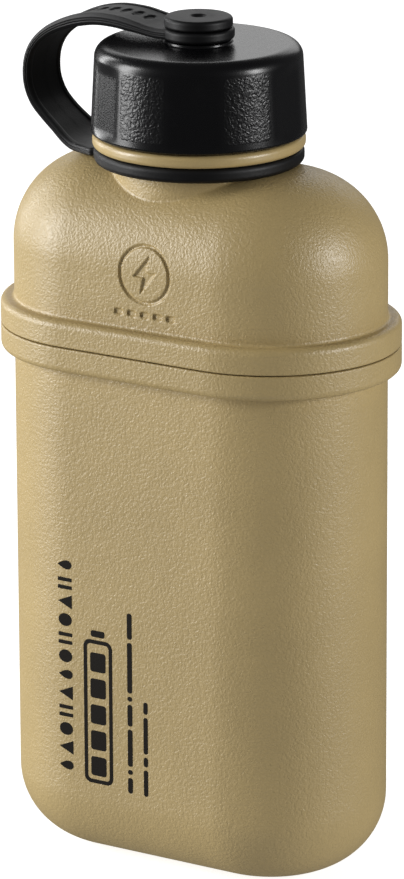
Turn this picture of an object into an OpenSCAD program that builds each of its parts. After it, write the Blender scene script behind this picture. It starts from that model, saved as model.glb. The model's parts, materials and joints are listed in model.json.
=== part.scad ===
// Canteen-shaped outdoor power bank: a two-shell waterproof case with two
// cylindrical cells, a port module in the neck, and a tethered screw cap.
// Millimetres. +Z up, origin at the centre of the base, front face towards -Y.

/* [Case] */
// Width of the case between its rounded ends
case_w = 63; // [60:0.5:66]
// Depth of the case, which is also the diameter of its rounded ends
case_d = 36.8; // [35.6:0.2:38]
// Height of the shoulders, where the neck rises
shoulder_z = 113.7; // [113.5:0.1:113.9]
// Rounding of the base edge
base_round = 12.3; // [11:0.1:13]
// Rounding of the shoulder edge
shoulder_round = 14.2; // [14:0.1:16]
// Thickness of the moulded wall
wall = 2.4; // [2:0.1:2.6]

/* [Seam and bead] */
// Height of the seam between the two shells
seam_z = 86.2; // [85.5:0.1:87]
// How far the bead stands proud of the case
bead_proud = 2.2; // [1:0.1:3]
// Height of the bead on each side of the seam
bead_half = 4.1; // [3.5:0.1:4.5]
// Open gap that shows as the seam line
seam_gap = 0.2; // [0.1:0.05:0.3]

/* [Neck and thread] */
// Radius of the neck under the flange
neck_r = 13.7; // [13.5:0.1:13.8]
// Radius of the bore that holds the port module
neck_bore_r = 11.4; // [11.3:0.1:11.5]
// Height of the neck's rim
neck_top_z = 129; // [128.8:0.1:129]
// Radius of the flange under the cap
flange_r = 16.7; // [16.4:0.1:16.8]
// Underside of the flange
flange_z = 116.2; // [116:0.1:116.4]
// Thickness of the flange
flange_h = 2.0; // [1.8:0.1:2]
// Core radius of the threaded part of the neck
thread_core_r = 13; // [12.9:0.1:13.1]
// Rise of the thread in one turn, with two starts
thread_lead = 6; // [6:1:6]

/* [Cap] */
// Radius of the cap at its lower edge
cap_r = 16.95; // [16.6:0.05:17.2]
// Radius of the cap at the top of its side
cap_top_r = 16.25; // [16:0.05:16.5]
// Height of the cap
cap_h = 14.1; // [13.9:0.1:14.4]
// Rounding of the cap's top edge
cap_round = 2.4; // [2:0.1:3]
// Number of finger flutes round the cap
flutes = 6; // [4:1:8]
// Depth of a flute
flute_depth = 0.65; // [0.5:0.05:0.7]
// Clocking of the first flute, from the front towards the right
flute_turn = 30; // [0:1:60]

/* [Strap] */
// Width of the strap
strap_w = 9.5; // [8.5:0.1:10]
// Thickness of the strap
strap_t = 1.5; // [1.2:0.1:1.6]
// Outer radius of the ring round the neck
ring_r = 16.5; // [16.2:0.1:16.6]
// Thickness of that ring
ring_h = 2.3; // [2:0.1:2.3]
// Outer radius of the eye on the cap
eye_r = 5.65; // [5.4:0.05:6]

/* [Cells] */
// Radius of a cell
cell_r = 10.6; // [10.5:0.05:10.7]
// Length of a cell
cell_h = 70.2; // [69:0.1:71]
// Distance between the two cells' axes
cell_pitch = 21.8; // [21.6:0.1:22.2]

/* [Hidden] */
$fn = 96;
EPS = 0.01;
end_r = case_d / 2;                 // radius of the rounded ends
end_x = case_w / 2 - end_r;         // centre of each rounded end
seat = 0.1;                         // moulding clearance between seated pieces
flange_top_z = flange_z + flange_h;
cap_z = flange_top_z + 0.3;         // lower edge of the cap
cap_top_z = cap_z + cap_h;
cap_bore_r = 15.15;                 // inside of the cap's skirt
liner_r = 15.1;                     // outside of the cap's threaded liner
liner_bore_r = 14.35;               // inside of that liner
ceiling_z = neck_top_z + 1.25;      // inside of the cap's top
thread_crest_r = 14;                // crest of the neck's thread
cap_crest_r = 13.35;                // crest of the cap's thread
thread_root_half = 0.8;             // half the ridge's width at its root
thread_crest_half = 0.45;           // half the ridge's width at its crest
thread_z = 121;                     // where the neck's thread starts
boss_h = 0.5;                       // boss on the cap under the strap's eye
eye_z = cap_top_z + boss_h + 0.2;
eye_h = 1.7;
rivet_z = eye_z + eye_h + 0.2;      // underside of the rivet's head
rivet_head_h = 1.6;
rivet_head_r = 5.4;
rivet_r = 2.3;
neck_stub_bore = 12.5;              // bore of the shell's own neck, round the collar
face_z = neck_top_z - 1;            // outer surface of the port face
face_t = 2;
board_t = 1.2;                      // thickness of the main board
cradle_r = 11.9;                    // end radius of the cell cradles
cradle_z = 4.4;
cradle_floor = 1.2;
strip_t = 0.2;                      // thickness of the nickel strips
lead_r = 0.8;
lead_y = 7.4;                       // the negative lead, in the valley between the cells
lead_bend = 1.5;
cell_z = cradle_z + cradle_floor + strip_t;
cell_top_z = cell_z + cell_h;
usb_a_y = -3.75;                    // centre of the large port
usb_c_x = -3.4;                     // centre of the small port
usb_c_y = 2.5;
button_x = 6.4;
button_y = 4.2;
button_r = 2;
led_y = 8.2;
led_pitch = 2.6;
ui_z = 120.4;                       // underside of the small board
ui_t = 0.8;
switch_h = 2.2;
strap_route = [                     // centre line of the strap, [x, z]
    [-16.0, 114.9], [-19.2, 114.5], [-21.8, 114.95], [-24.3, 116.15], [-26.6, 118.1], [-28.2, 120.3],
    [-29.1, 122.8], [-29.4, 125.5], [-29.0, 128.0], [-27.8, 130.2], [-25.9, 132.1], [-23.6, 133.6],
    [-20.4, 134.9], [-16.6, 135.5], [-12.8, 135.4], [-9.6, 134.85], [-7.0, 134.35], [-5.2, 134.15]
];

// ---------------------------------------------------------------- shared shapes

// Carries a half section, drawn with x outwards and y up, round the case's outline.
module round_case() {
    for (side = [1, -1])
        translate([side * end_x, 0, 0])
            rotate([0, 0, -90 * side])
                rotate_extrude(angle = 180) children();
    rotate([90, 0, 90])
        linear_extrude(2 * end_x, center = true) {
            children();
            mirror([1, 0]) children();
        }
}

// Half section of everything inside the case below the seam, grown by out.
module lower_section(out) {
    intersection() {
        translate([0, -20]) square([60, 200]);
        union() {
            translate([0, -out]) square([end_r - base_round, seam_z + out]);
            translate([0, base_round]) square([end_r + out, seam_z - base_round]);
            translate([end_r - base_round, base_round]) circle(base_round + out);
        }
    }
}

// Half section of everything inside the case above the seam, grown by out.
module upper_section(out) {
    side_top = shoulder_z - shoulder_round;
    intersection() {
        translate([0, seam_z]) square([60, 60]);
        union() {
            translate([0, seam_z]) square([end_r - shoulder_round, shoulder_z + out - seam_z]);
            translate([0, seam_z]) square([end_r + out, side_top - seam_z]);
            translate([end_r - shoulder_round, side_top]) circle(shoulder_round + out);
        }
    }
}

// Section of the bead from z0 to z1, rounded at the outer corner that is at z_round.
module bead_section(z0, z1, z_round) {
    r = bead_proud - 0.1;
    x0 = end_r - 1;
    up = z_round == z1 ? -1 : 1;
    translate([x0, z0]) square([1 + bead_proud - r, z1 - z0]);
    translate([x0, z0 + (up > 0 ? r : 0)]) square([1 + bead_proud, z1 - z0 - r]);
    translate([end_r + bead_proud - r, z_round + up * r]) circle(r);
}

// Outline of the case grown by out.
module outline(out) {
    square([2 * end_x, 2 * (end_r + out)], center = true);
    for (side = [1, -1]) translate([side * end_x, 0]) circle(end_r + out);
}

// A flat-sided ring that follows the case between two offsets, z0 to z1.
module case_ring(inner, outer, z0, z1) {
    round_case() translate([end_r + inner, z0]) square([outer - inner, z1 - z0]);
}

// Upright plate with rounded ends round both cells.
module cell_outline(r) {
    square([cell_pitch, 2 * r], center = true);
    for (side = [1, -1]) translate([side * cell_pitch / 2, 0]) circle(r);
}

// One helical ridge: a trapezoid of radius root_r to crest_r carried up a helix, thinned at both ends.
module ridge(root_r, crest_r, z0, start, turn) {
    steps = round(turn / 7.5);
    fade = 3;
    function tip(i) = min(1, (min(i, steps - i) + 0.4) / fade);
    function ring(i) =
        let (a = start + turn * i / steps, z = z0 + thread_lead * (start + turn * i / steps) / 360,
             k = tip(i), c = root_r + (crest_r - root_r) * k)
        [for (p = [[root_r, -thread_root_half * k], [c, -thread_crest_half * k],
                   [c, thread_crest_half * k], [root_r, thread_root_half * k]])
            [p[0] * cos(a), p[0] * sin(a), z + p[1]]];
    points = [for (i = [0:steps]) each ring(i)];
    sides = [for (i = [0:steps - 1]) for (k = [0:3])
        let (a = 4 * i + k, b = 4 * i + (k + 1) % 4)
        each [[a, b, b + 4], [a, b + 4, a + 4]]];
    last = 4 * steps;
    // A ridge that grows inwards is wound the other way round.
    ends = [[0, 3, 2], [0, 2, 1], [last, last + 1, last + 2], [last, last + 2, last + 3]];
    all_faces = concat(sides, ends);
    polyhedron(points, crest_r > root_r ? all_faces : [for (f = all_faces) [f[2], f[1], f[0]]]);
}

// ---------------------------------------------------------------- case

module lower_shell() {
    top_z = seam_z - seam_gap / 2;
    color([0.66, 0.60, 0.45]) {
        round_case() difference() {
            union() {
                lower_section(0);
                bead_section(seam_z - bead_half, seam_z, seam_z - bead_half);
            }
            lower_section(-wall);
            translate([0, top_z]) square([40, 10]);
            // groove for the seal and the upper shell's tongue
            translate([end_r - 1.1, top_z - 2.3]) square([1.5, 10]);
        }
        // ribs that hold the cell cradle off the floor
        for (x = [-cell_pitch / 2, cell_pitch / 2])
            for (y = [-6, 6])
                translate([x, y, wall - 0.4]) cylinder(r = 2, h = cradle_z - wall + 0.4);
    }
}

module emblem_cut(depth) {
    centre_x = 1.6;
    centre_z = 99.4;
    difference() {
        translate([0, -end_r + 6, 0]) rotate([90, 0, 0]) linear_extrude(10) {
            translate([centre_x, centre_z]) {
                difference() {
                    circle(4.9);
                    circle(4.25);
                }
                polygon([[0.9, 3.3], [-2.1, -0.5], [-0.3, -0.5], [-0.9, -3.3], [2.1, 0.5], [0.3, 0.5]]);
            }
            for (i = [-2:2])
                translate([centre_x + 2.4 * i - 0.8, 92.4]) square([1.6, 1.1]);
        }
        rotate([90, 0, 90]) linear_extrude(2 * end_x, center = true) {
            upper_section(-depth);
            mirror([1, 0]) upper_section(-depth);
        }
    }
}

module upper_shell() {
    bottom_z = seam_z + seam_gap / 2;
    color([0.66, 0.60, 0.45]) difference() {
        union() {
            round_case() difference() {
                union() {
                    upper_section(0);
                    bead_section(seam_z, seam_z + bead_half, seam_z + bead_half);
                    // tongue that presses on the seal
                    translate([end_r - 1.0, seam_z - 1.5]) square([1.3, 3]);
                }
                upper_section(-wall);
                translate([0, bottom_z - 10]) square([end_r - 1.0, 10]);
                translate([end_r + 0.3, bottom_z - 10]) square([10, 10]);
            }
            translate([0, 0, 107]) cylinder(r = neck_r, h = flange_z - 107);
        }
        translate([0, 0, 100]) cylinder(r = neck_stub_bore, h = 20);
        emblem_cut(0.45);
    }
}

// Flange and threaded spout, bonded into the shell's neck once the strap's ring is on.
module neck_collar() {
    color([0.66, 0.60, 0.45]) difference() {
        union() {
            translate([0, 0, flange_z]) flange();
            translate([0, 0, 107]) cylinder(r = neck_stub_bore - seat, h = 10);
            translate([0, 0, flange_z + 0.5])
                cylinder(r = thread_core_r, h = neck_top_z - flange_z - 0.5);
            for (start = [0, 180])
                ridge(thread_core_r - 0.3, thread_crest_r, thread_z - thread_lead * start / 360, start, 360);
        }
        translate([0, 0, 100]) cylinder(r = neck_bore_r, h = 40);
    }
}

// Flange with rounded outer edges.
module flange() {
    r = 0.7;
    rotate_extrude() {
        square([flange_r - r, flange_h]);
        translate([0, r]) square([flange_r, flange_h - 2 * r]);
        for (z = [r, flange_h - r]) translate([flange_r - r, z]) circle(r);
    }
}

module case_seal() {
    groove_floor = seam_z - seam_gap / 2 - 2.3;
    color([0.1, 0.1, 0.1])
        case_ring(-1.0, 0.3, groove_floor, seam_z - 1.5);
}

// ---------------------------------------------------------------- cells and their holders

module base_pad() {
    // its corners stay on the flat of the floor
    half_w = 6;
    half_l = end_x + sqrt(pow(end_r - base_round, 2) - pow(half_w, 2));
    color([0.2, 0.2, 0.22]) translate([0, 0, wall])
        difference() {
            linear_extrude(cradle_z - wall) square([2 * half_l, 2 * half_w], center = true);
            for (x = [-cell_pitch / 2, cell_pitch / 2])
                for (y = [-6, 6])
                    translate([x, y, -1]) cylinder(r = 2.2, h = 5);
        }
}

module cell_cradle_base() {
    height = 12;
    color([0.25, 0.25, 0.27]) translate([0, 0, cradle_z]) difference() {
        linear_extrude(height) cell_outline(cradle_r);
        for (side = [1, -1])
            translate([side * cell_pitch / 2, 0, cradle_floor]) cylinder(r = cell_r + seat, h = height);
        // window in the floor for the bottom strip
        translate([0, 0, cradle_floor + 5]) cube([cell_pitch, 7, 10], center = true);
        // slot for the negative lead
        translate([-1.2, 3, cradle_floor]) cube([2.4, 6.2, 20]);
    }
}

module cell_cradle_top() {
    skirt = 10;
    plate = 2.2;
    z0 = cell_top_z - skirt;
    color([0.25, 0.25, 0.27]) difference() {
        union() {
            translate([0, 0, z0]) linear_extrude(skirt + strip_t + plate) cell_outline(cradle_r);
            // posts that carry the main board
            for (side = [1, -1])
                translate([side * 15 - 3, board_t / 2, cell_top_z + plate])
                    cube([6, 4, 12]);
        }
        for (side = [1, -1]) {
            translate([side * cell_pitch / 2, 0, z0 - 1]) cylinder(r = cell_r + seat, h = skirt + 1);
            translate([side * 15, 0, 87]) rotate([-90, 0, 0]) cylinder(r = 0.9, h = 4);
        }
        translate([-cell_pitch / 2 - 4.2, -4.2, cell_top_z - 1]) cube([cell_pitch + 8.4, 8.4, 1 + strip_t]);
        // way for the negative lead
        translate([-1.2, lead_y - 1.6, z0 - 1]) cube([2.4, 3.2, 30]);
        // way for the positive lead
        translate([7, -3, cell_top_z]) cylinder(r = 1.1, h = 6);
    }
}

// A cell: a can with a crimp groove and a raised terminal.
module cell(x) {
    color([0.16, 0.35, 0.55]) translate([x, 0, cell_z]) rotate_extrude() difference() {
        union() {
            square([cell_r, cell_h - 1]);
            square([4.4, cell_h]);
        }
        translate([cell_r + 0.9, cell_h - 4.5]) circle(1.4);
    }
}

module cell_left() { cell(-cell_pitch / 2); }
module cell_right() { cell(cell_pitch / 2); }

module cell_insulators() {
    color([0.92, 0.92, 0.88])
        for (side = [1, -1])
            translate([side * cell_pitch / 2, 0, cell_top_z - 1]) difference() {
                cylinder(r = 9.6, h = 0.3);
                translate([0, 0, -1]) cylinder(r = 4.6, h = 3);
            }
}

// A flat strip with rounded ends that joins both cells.
module strip(z) {
    translate([0, 0, z])
        linear_extrude(strip_t) {
            square([cell_pitch, 6], center = true);
            for (side = [1, -1]) translate([side * cell_pitch / 2, 0]) circle(3);
        }
}

module cell_strip_bottom() {
    color([0.75, 0.75, 0.76]) {
        strip(cell_z - strip_t);
        // tab under the negative lead
        translate([-1.1, 0, cell_z - strip_t]) cube([2.2, lead_y + 1, strip_t]);
    }
}

module cell_strip_top() {
    color([0.75, 0.75, 0.76]) strip(cell_top_z);
}

// Quarter turn of a lead, in the plane of x and y.
module elbow() {
    rotate_extrude(angle = 90) translate([lead_bend, 0]) circle(lead_r);
}

module lead_positive() {
    x = 7;
    y = -3;
    z0 = cell_top_z + strip_t;
    straight = 5;
    color([0.75, 0.1, 0.08]) {
        translate([x, y, z0]) cylinder(r = lead_r, h = straight);
        translate([x, y + lead_bend, z0 + straight]) rotate([90, 0, -90]) elbow();
        translate([x, y + lead_bend, z0 + straight + lead_bend]) rotate([-90, 0, 0])
            cylinder(r = lead_r, h = -y - lead_bend - board_t / 2);
    }
}

module lead_negative() {
    z1 = 80.5;
    color([0.06, 0.06, 0.06]) {
        translate([0, lead_y, cell_z]) cylinder(r = lead_r, h = z1 - cell_z);
        translate([0, lead_y - lead_bend, z1]) rotate([90, 0, 90]) elbow();
        translate([0, lead_y - lead_bend, z1 + lead_bend]) rotate([90, 0, 0])
            cylinder(r = lead_r, h = lead_y - lead_bend - board_t / 2);
    }
}

module shock_pads() {
    pad_t = end_r - wall - cradle_r - 0.4;
    color([0.2, 0.2, 0.22])
        for (side = [1, -1])
            for (z = [20, 58])
                translate([0, side * (cradle_r + 0.2 + pad_t / 2), z + 4])
                    cube([26, pad_t, 12], center = true);
}

// ---------------------------------------------------------------- electronics

module main_board() {
    low_z = cell_top_z + 3.4;
    color([0.05, 0.25, 0.12]) difference() {
        translate([0, board_t / 2, 0]) rotate([90, 0, 0]) linear_extrude(board_t)
            polygon([[-23, low_z], [23, low_z], [23, 100], [18, 106], [9.6, 106], [9.6, 125.9],
                     [-9.6, 125.9], [-9.6, 106], [-18, 106], [-23, 100]]);
        for (side = [1, -1])
            translate([side * 15, -2, 87]) rotate([-90, 0, 0]) cylinder(r = 1.1, h = 4);
    }
}

module power_inductor() {
    color([0.22, 0.22, 0.24]) translate([-9, -board_t / 2 - 4, 92]) difference() {
        cube([7, 4, 7]);
        translate([3.5, -1, 3.5]) rotate([-90, 0, 0]) cylinder(r = 2, h = 1.3);
    }
}

module board_chips() {
    color([0.08, 0.08, 0.09]) {
        for (c = [[6, 93, 5, 5], [14, 95, 4, 4], [2, 101, 6, 4.5]])
            translate([c[0] - c[2] / 2, -board_t / 2 - 1, c[1] - c[3] / 2]) cube([c[2], 1, c[3]]);
        translate([-15, board_t / 2, 97]) cube([5, 1.2, 4.4]);
    }
}

module board_capacitors() {
    color([0.72, 0.66, 0.52])
        for (i = [0:5])
            translate([-20 + 3 * (i % 3), -board_t / 2 - 1.2, 96 + 4 * floor(i / 3)])
                cube([1.6, 1.2, 3]);
}

module board_screws() {
    color([0.6, 0.6, 0.62])
        for (side = [1, -1])
            translate([side * 15, -board_t / 2, 87]) rotate([-90, 0, 0]) {
                cylinder(r = 0.8, h = 4);
                difference() {
                    translate([0, 0, -1.2]) cylinder(r = 1.9, h = 1.2);
                    translate([0, 0, -1.2]) cube([0.5, 2.4, 1], center = true);
                    translate([0, 0, -1.2]) cube([2.4, 0.5, 1], center = true);
                }
            }
}

// Folded sheet-metal sleeve of a socket, open at the top.
module usb_a_shell() {
    depth = 14;
    color([0.78, 0.78, 0.8]) translate([0, usb_a_y, face_z - depth]) difference() {
        translate([-6.6, -3.05, 0]) cube([13.2, 6.1, depth]);
        translate([-6.25, -2.7, 1]) cube([12.5, 5.4, depth]);
        for (x = [-3.4, 3.4]) translate([x - 0.8, -4, 6]) cube([1.6, 2, 4]);
    }
}

module usb_a_tongue() {
    color([0.1, 0.1, 0.11]) translate([0, usb_a_y, face_z - 14]) {
        translate([-6.2, -2.65, 1]) cube([12.4, 5.3, 2.2]);
        translate([-5.6, 0.2, 3.2]) cube([11.2, 1.9, 9]);
    }
    color([0.85, 0.7, 0.3]) translate([0, usb_a_y, face_z - 14])
        for (i = [-1.5, -0.5, 0.5, 1.5])
            translate([i * 2.4 - 0.5, 0.05, 4]) cube([1.0, 0.15, 7]);
}

// Rounded oval of a small reversible socket.
module oval(w, h) {
    square([w - h, h], center = true);
    for (side = [1, -1]) translate([side * (w - h) / 2, 0]) circle(h / 2);
}

module usb_c_shell() {
    depth = 8;
    color([0.78, 0.78, 0.8]) translate([usb_c_x, usb_c_y, face_z - depth]) difference() {
        linear_extrude(depth) oval(8.94, 3.26);
        translate([0, 0, 1]) linear_extrude(depth) oval(8.34, 2.66);
    }
}

module usb_c_tongue() {
    color([0.1, 0.1, 0.11]) translate([usb_c_x, usb_c_y, face_z - 7]) {
        linear_extrude(1.4) oval(8.3, 2.62);
        translate([-3.35, -0.35, 1.4]) cube([6.7, 0.7, 4.6]);
    }
}

module port_face() {
    color([0.08, 0.08, 0.09]) difference() {
        translate([0, 0, face_z - face_t]) cylinder(r = neck_bore_r - seat, h = face_t);
        translate([-6.7, usb_a_y - 3.15, face_z - 3]) cube([13.4, 6.3, 5]);
        translate([usb_c_x, usb_c_y, face_z - 3]) linear_extrude(5) oval(9.14, 3.46);
        translate([button_x, button_y, face_z - 3]) cylinder(r = button_r + 0.3, h = 5);
        for (i = [-1.5, -0.5, 0.5, 1.5])
            translate([i * led_pitch, led_y, face_z - 3]) cylinder(r = 0.7, h = 5);
    }
}

module ui_board() {
    color([0.05, 0.25, 0.12]) translate([0, 0, ui_z]) difference() {
        intersection() {
            cylinder(r = neck_bore_r - 0.4, h = ui_t);
            translate([-20, board_t / 2 + 0.1, 0]) cube([40, 20, ui_t]);
        }
        translate([usb_c_x, usb_c_y, -1]) linear_extrude(5) square([9.3, 4.2], center = true);
    }
}

module status_leds() {
    color([0.95, 0.95, 0.85])
        for (i = [-1.5, -0.5, 0.5, 1.5])
            translate([i * led_pitch - 0.5, led_y - 0.4, ui_z + ui_t]) cube([1, 0.8, 0.6]);
}

module light_guides() {
    bottom_z = ui_z + ui_t + 0.7;
    color([0.9, 0.95, 1, 0.6])
        for (i = [-1.5, -0.5, 0.5, 1.5])
            translate([i * led_pitch, led_y, bottom_z]) cylinder(r = 0.6, h = face_z + 0.1 - bottom_z);
}

module button_switch() {
    color([0.7, 0.7, 0.72]) translate([button_x, button_y, ui_z + ui_t]) {
        translate([-1.9, -1.9, 0]) cube([3.8, 3.8, switch_h - 0.7]);
        translate([0, 0, switch_h - 0.8]) cylinder(r = 0.9, h = 0.4);
    }
}

module power_button() {
    stem_z = ui_z + ui_t + switch_h + 0.3;
    color([0.75, 0.4, 0.1]) translate([button_x, button_y, 0]) {
        translate([0, 0, stem_z]) cylinder(r = 1.2, h = face_z - face_t - stem_z - 0.6);
        translate([0, 0, face_z - face_t - 1.4]) cylinder(r = button_r, h = face_t + 2.0);
        // collar that keeps the button in its hole
        translate([0, 0, face_z - face_t - 1.4]) cylinder(r = button_r + 0.5, h = 0.8);
    }
}

// ---------------------------------------------------------------- strap and cap

// Strip of width w that follows route, [x, z] points, with square ends.
module strap_sweep(route, w, t) {
    n = len(route);
    function dir(i) = let (a = route[max(i - 1, 0)], b = route[min(i + 1, n - 1)]) (b - a) / norm(b - a);
    function side(i) = [-dir(i)[1], dir(i)[0]] * t / 2;
    outer = [for (i = [0:n - 1]) route[i] + side(i)];
    inner = [for (i = [n - 1:-1:0]) route[i] - side(i)];
    rotate([90, 0, 0]) linear_extrude(w, center = true) polygon(concat(outer, inner));
}

module strap_ring() {
    r = 0.8;
    inner_r = neck_r + 0.15;
    color([0.05, 0.05, 0.055]) translate([0, 0, flange_z - 0.1 - ring_h]) rotate_extrude() {
        translate([inner_r, 0]) square([ring_r - r - inner_r, ring_h]);
        translate([inner_r, r]) square([ring_r - inner_r, ring_h - 2 * r]);
        for (z = [r, ring_h - r]) translate([ring_r - r, z]) circle(r);
    }
}

module strap_band() {
    color([0.05, 0.05, 0.055]) difference() {
        strap_sweep(strap_route, strap_w, strap_t);
        // room for the flange when the strap is lifted past it
        translate([0, 0, 100]) cylinder(r = flange_r + 0.35, h = 22);
        translate([0, 0, 130]) cylinder(r = eye_r, h = 10);
    }
}

module strap_eye() {
    color([0.05, 0.05, 0.055]) translate([0, 0, eye_z]) difference() {
        cylinder(r = eye_r, h = eye_h);
        translate([0, 0, -1]) cylinder(r = rivet_r + 0.3, h = eye_h + 2);
    }
}

module strap_rivet() {
    chamfer = 0.3;
    color([0.07, 0.07, 0.075]) translate([0, 0, rivet_z]) difference() {
        union() {
            cylinder(r = rivet_head_r, h = rivet_head_h - chamfer);
            translate([0, 0, rivet_head_h - chamfer])
                cylinder(r1 = rivet_head_r, r2 = rivet_head_r - chamfer, h = chamfer);
            translate([0, 0, ceiling_z + 0.4 - rivet_z])
                cylinder(r = rivet_r, h = rivet_z - ceiling_z);
        }
        translate([0, 0, rivet_head_h - 0.5]) cylinder(r = 1, h = 1);
    }
}

// A finger flute: a flat with sloping ends, cut along the leaning side of the cap.
module flute_cut() {
    run_out = 0.9;
    deep = 6;
    low_z = cap_z + 2.4;
    high_z = cap_top_z - 3.9;
    mean_r = (cap_r + cap_top_r) / 2;
    lean = atan((cap_r - cap_top_r) / cap_h);
    half = (high_z - low_z) / 2;
    translate([mean_r - flute_depth, 0, low_z + half]) rotate([0, -lean, 0]) rotate([90, 0, 0])
        linear_extrude(14, center = true) polygon([
            [0, -half], [run_out, -half - run_out], [deep, -half - run_out],
            [deep, half + run_out], [run_out, half + run_out], [0, half]
        ]);
}

// Half section of the cap's outside: a leaning side and a rounded top edge.
module cap_section() {
    side_top = cap_h - cap_round;
    polygon([[0, 0], [cap_r, 0], [cap_top_r, side_top], [0, side_top]]);
    translate([0, side_top - 1]) square([cap_top_r - cap_round, cap_round + 1]);
    intersection() {
        translate([cap_top_r - cap_round, side_top]) circle(cap_round);
        translate([0, side_top - EPS]) square([cap_r, cap_round + 1]);
    }
}

module cap() {
    color([0.05, 0.05, 0.055]) difference() {
        union() {
            translate([0, 0, cap_z]) rotate([0, 0, flute_turn]) rotate_extrude() cap_section();
            translate([0, 0, cap_top_z - 0.5]) cylinder(r = 5.3, h = boss_h + 0.5);
        }
        translate([0, 0, cap_z - 1]) cylinder(r = cap_bore_r, h = ceiling_z - cap_z + 1);
        for (i = [0:flutes - 1]) rotate([0, 0, flute_turn - 90 + 360 / flutes * i]) flute_cut();
        // seat of the rivet
        translate([0, 0, ceiling_z - 1]) cylinder(r = rivet_r, h = 6);
    }
}

// Threaded sleeve bonded inside the cap.
module cap_liner() {
    color([0.12, 0.12, 0.13]) {
        translate([0, 0, cap_z + 0.3]) difference() {
            cylinder(r = liner_r, h = neck_top_z - cap_z - 0.3);
            translate([0, 0, -1]) cylinder(r = liner_bore_r, h = 20);
        }
        for (start = [60, 240])
            ridge(liner_bore_r + 0.3, cap_crest_r,
                  thread_z - thread_lead / 4 - (start > 180 ? thread_lead / 2 : 0), start, 360);
    }
}

module cap_seal() {
    seal_z = neck_top_z + 0.3;
    color([0.75, 0.4, 0.1]) translate([0, 0, seal_z]) difference() {
        cylinder(r = liner_r - 0.1, h = ceiling_z - seal_z);
        translate([0, 0, -1]) cylinder(r = 11.6, h = 4);
    }
}

lower_shell();
upper_shell();
neck_collar();
case_seal();
base_pad();
cell_cradle_base();
cell_cradle_top();
cell_left();
cell_right();
cell_insulators();
cell_strip_bottom();
cell_strip_top();
lead_positive();
lead_negative();
shock_pads();
main_board();
power_inductor();
board_chips();
board_capacitors();
board_screws();
usb_a_shell();
usb_a_tongue();
usb_c_shell();
usb_c_tongue();
port_face();
ui_board();
status_leds();
light_guides();
button_switch();
power_button();
strap_ring();
strap_band();
strap_eye();
strap_rivet();
cap();
cap_liner();
cap_seal();
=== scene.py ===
"""Looks of a canteen-shaped outdoor power bank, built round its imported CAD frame.

Sizes are in millimetres in the row's frame and become metres when a mesh is made. The case is a
stadium in plan: two half circles joined by straight sides. Its surfaces come from a profile that is
carried round that outline, and the shoulder meets the round neck on rays from the neck's axis.
"""

import json
import logging
import math
from dataclasses import dataclass, field
from enum import Enum
from typing import Any, Mapping, Sequence

import bmesh
import bpy
import numpy as np
from mathutils import Matrix, Vector
from numpy.typing import NDArray

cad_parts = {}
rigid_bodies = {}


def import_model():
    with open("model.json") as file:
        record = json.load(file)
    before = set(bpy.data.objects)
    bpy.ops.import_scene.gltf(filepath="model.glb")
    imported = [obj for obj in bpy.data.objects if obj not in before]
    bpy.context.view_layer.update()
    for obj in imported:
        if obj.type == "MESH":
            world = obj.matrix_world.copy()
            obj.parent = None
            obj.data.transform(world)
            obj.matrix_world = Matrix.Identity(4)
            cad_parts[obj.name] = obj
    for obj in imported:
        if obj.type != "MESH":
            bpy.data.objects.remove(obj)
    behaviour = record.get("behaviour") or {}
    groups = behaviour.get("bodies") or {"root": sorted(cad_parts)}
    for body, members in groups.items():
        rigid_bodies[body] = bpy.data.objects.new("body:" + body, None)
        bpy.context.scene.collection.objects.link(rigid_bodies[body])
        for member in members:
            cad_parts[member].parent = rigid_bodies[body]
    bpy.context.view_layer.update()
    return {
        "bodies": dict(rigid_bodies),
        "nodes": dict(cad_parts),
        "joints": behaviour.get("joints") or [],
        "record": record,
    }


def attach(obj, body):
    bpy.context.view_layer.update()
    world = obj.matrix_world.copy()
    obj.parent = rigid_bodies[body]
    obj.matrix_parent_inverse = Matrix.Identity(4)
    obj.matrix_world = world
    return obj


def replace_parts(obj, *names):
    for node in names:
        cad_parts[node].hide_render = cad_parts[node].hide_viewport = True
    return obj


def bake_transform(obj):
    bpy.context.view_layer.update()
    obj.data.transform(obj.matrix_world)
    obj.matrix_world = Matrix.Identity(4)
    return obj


Array = NDArray[np.float64]
Colour = tuple[float, float, float]
Pair = tuple[float, float]

MM = 0.001
# How near two vertices are when they become one, and how short an edge is when it goes, in metres.
WELD, SLIVER = 2e-6, 1e-7
LOG = logging.getLogger("power_bank")


# ---------------------------------------------------------------- numbers and curves


def smooth_step(low: float, high: float, value: Array) -> Array:
    """0 below low, 1 above high, and 3t^2 - 2t^3 between them.

    Args:
        low: where the step starts.
        high: where it ends.
        value: the numbers to step.

    Returns:
        One number from 0 to 1 for each value.
    """
    t = np.clip((value - low) / (high - low), 0.0, 1.0)
    return t * t * (3.0 - 2.0 * t)


def smooth_min(a: Array, b: Array, width: float) -> Array:
    """The lower of a and b, rounded off by a parabola where they are within width of each other.

    Args:
        a: first values.
        b: second values.
        width: how wide the rounding is.

    Returns:
        The rounded minimum.
    """
    near = np.clip(0.5 + 0.5 * (b - a) / width, 0.0, 1.0)
    return b + (a - b) * near - width * near * (1.0 - near)


def stations(stops: Sequence[Pair]) -> Array:
    """Positions along a line, at a spacing that changes from stretch to stretch.

    Args:
        stops: pairs of an end of a stretch and the spacing inside the stretch before it.
            The first pair's spacing isn't used.

    Returns:
        Increasing positions from the first stop to the last, both included.
    """
    pieces = [np.array([stops[0][0]])]
    for (start, _), (end, step) in zip(stops, stops[1:]):
        count = max(1, math.ceil(abs(end - start) / step))
        pieces.append(np.linspace(start, end, count + 1)[1:])
    return np.concatenate(pieces)


@dataclass(frozen=True)
class Corner:
    """A corner of a profile: its place, and the radius that rounds it."""

    x: float
    z: float
    radius: float = 0.0


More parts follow.
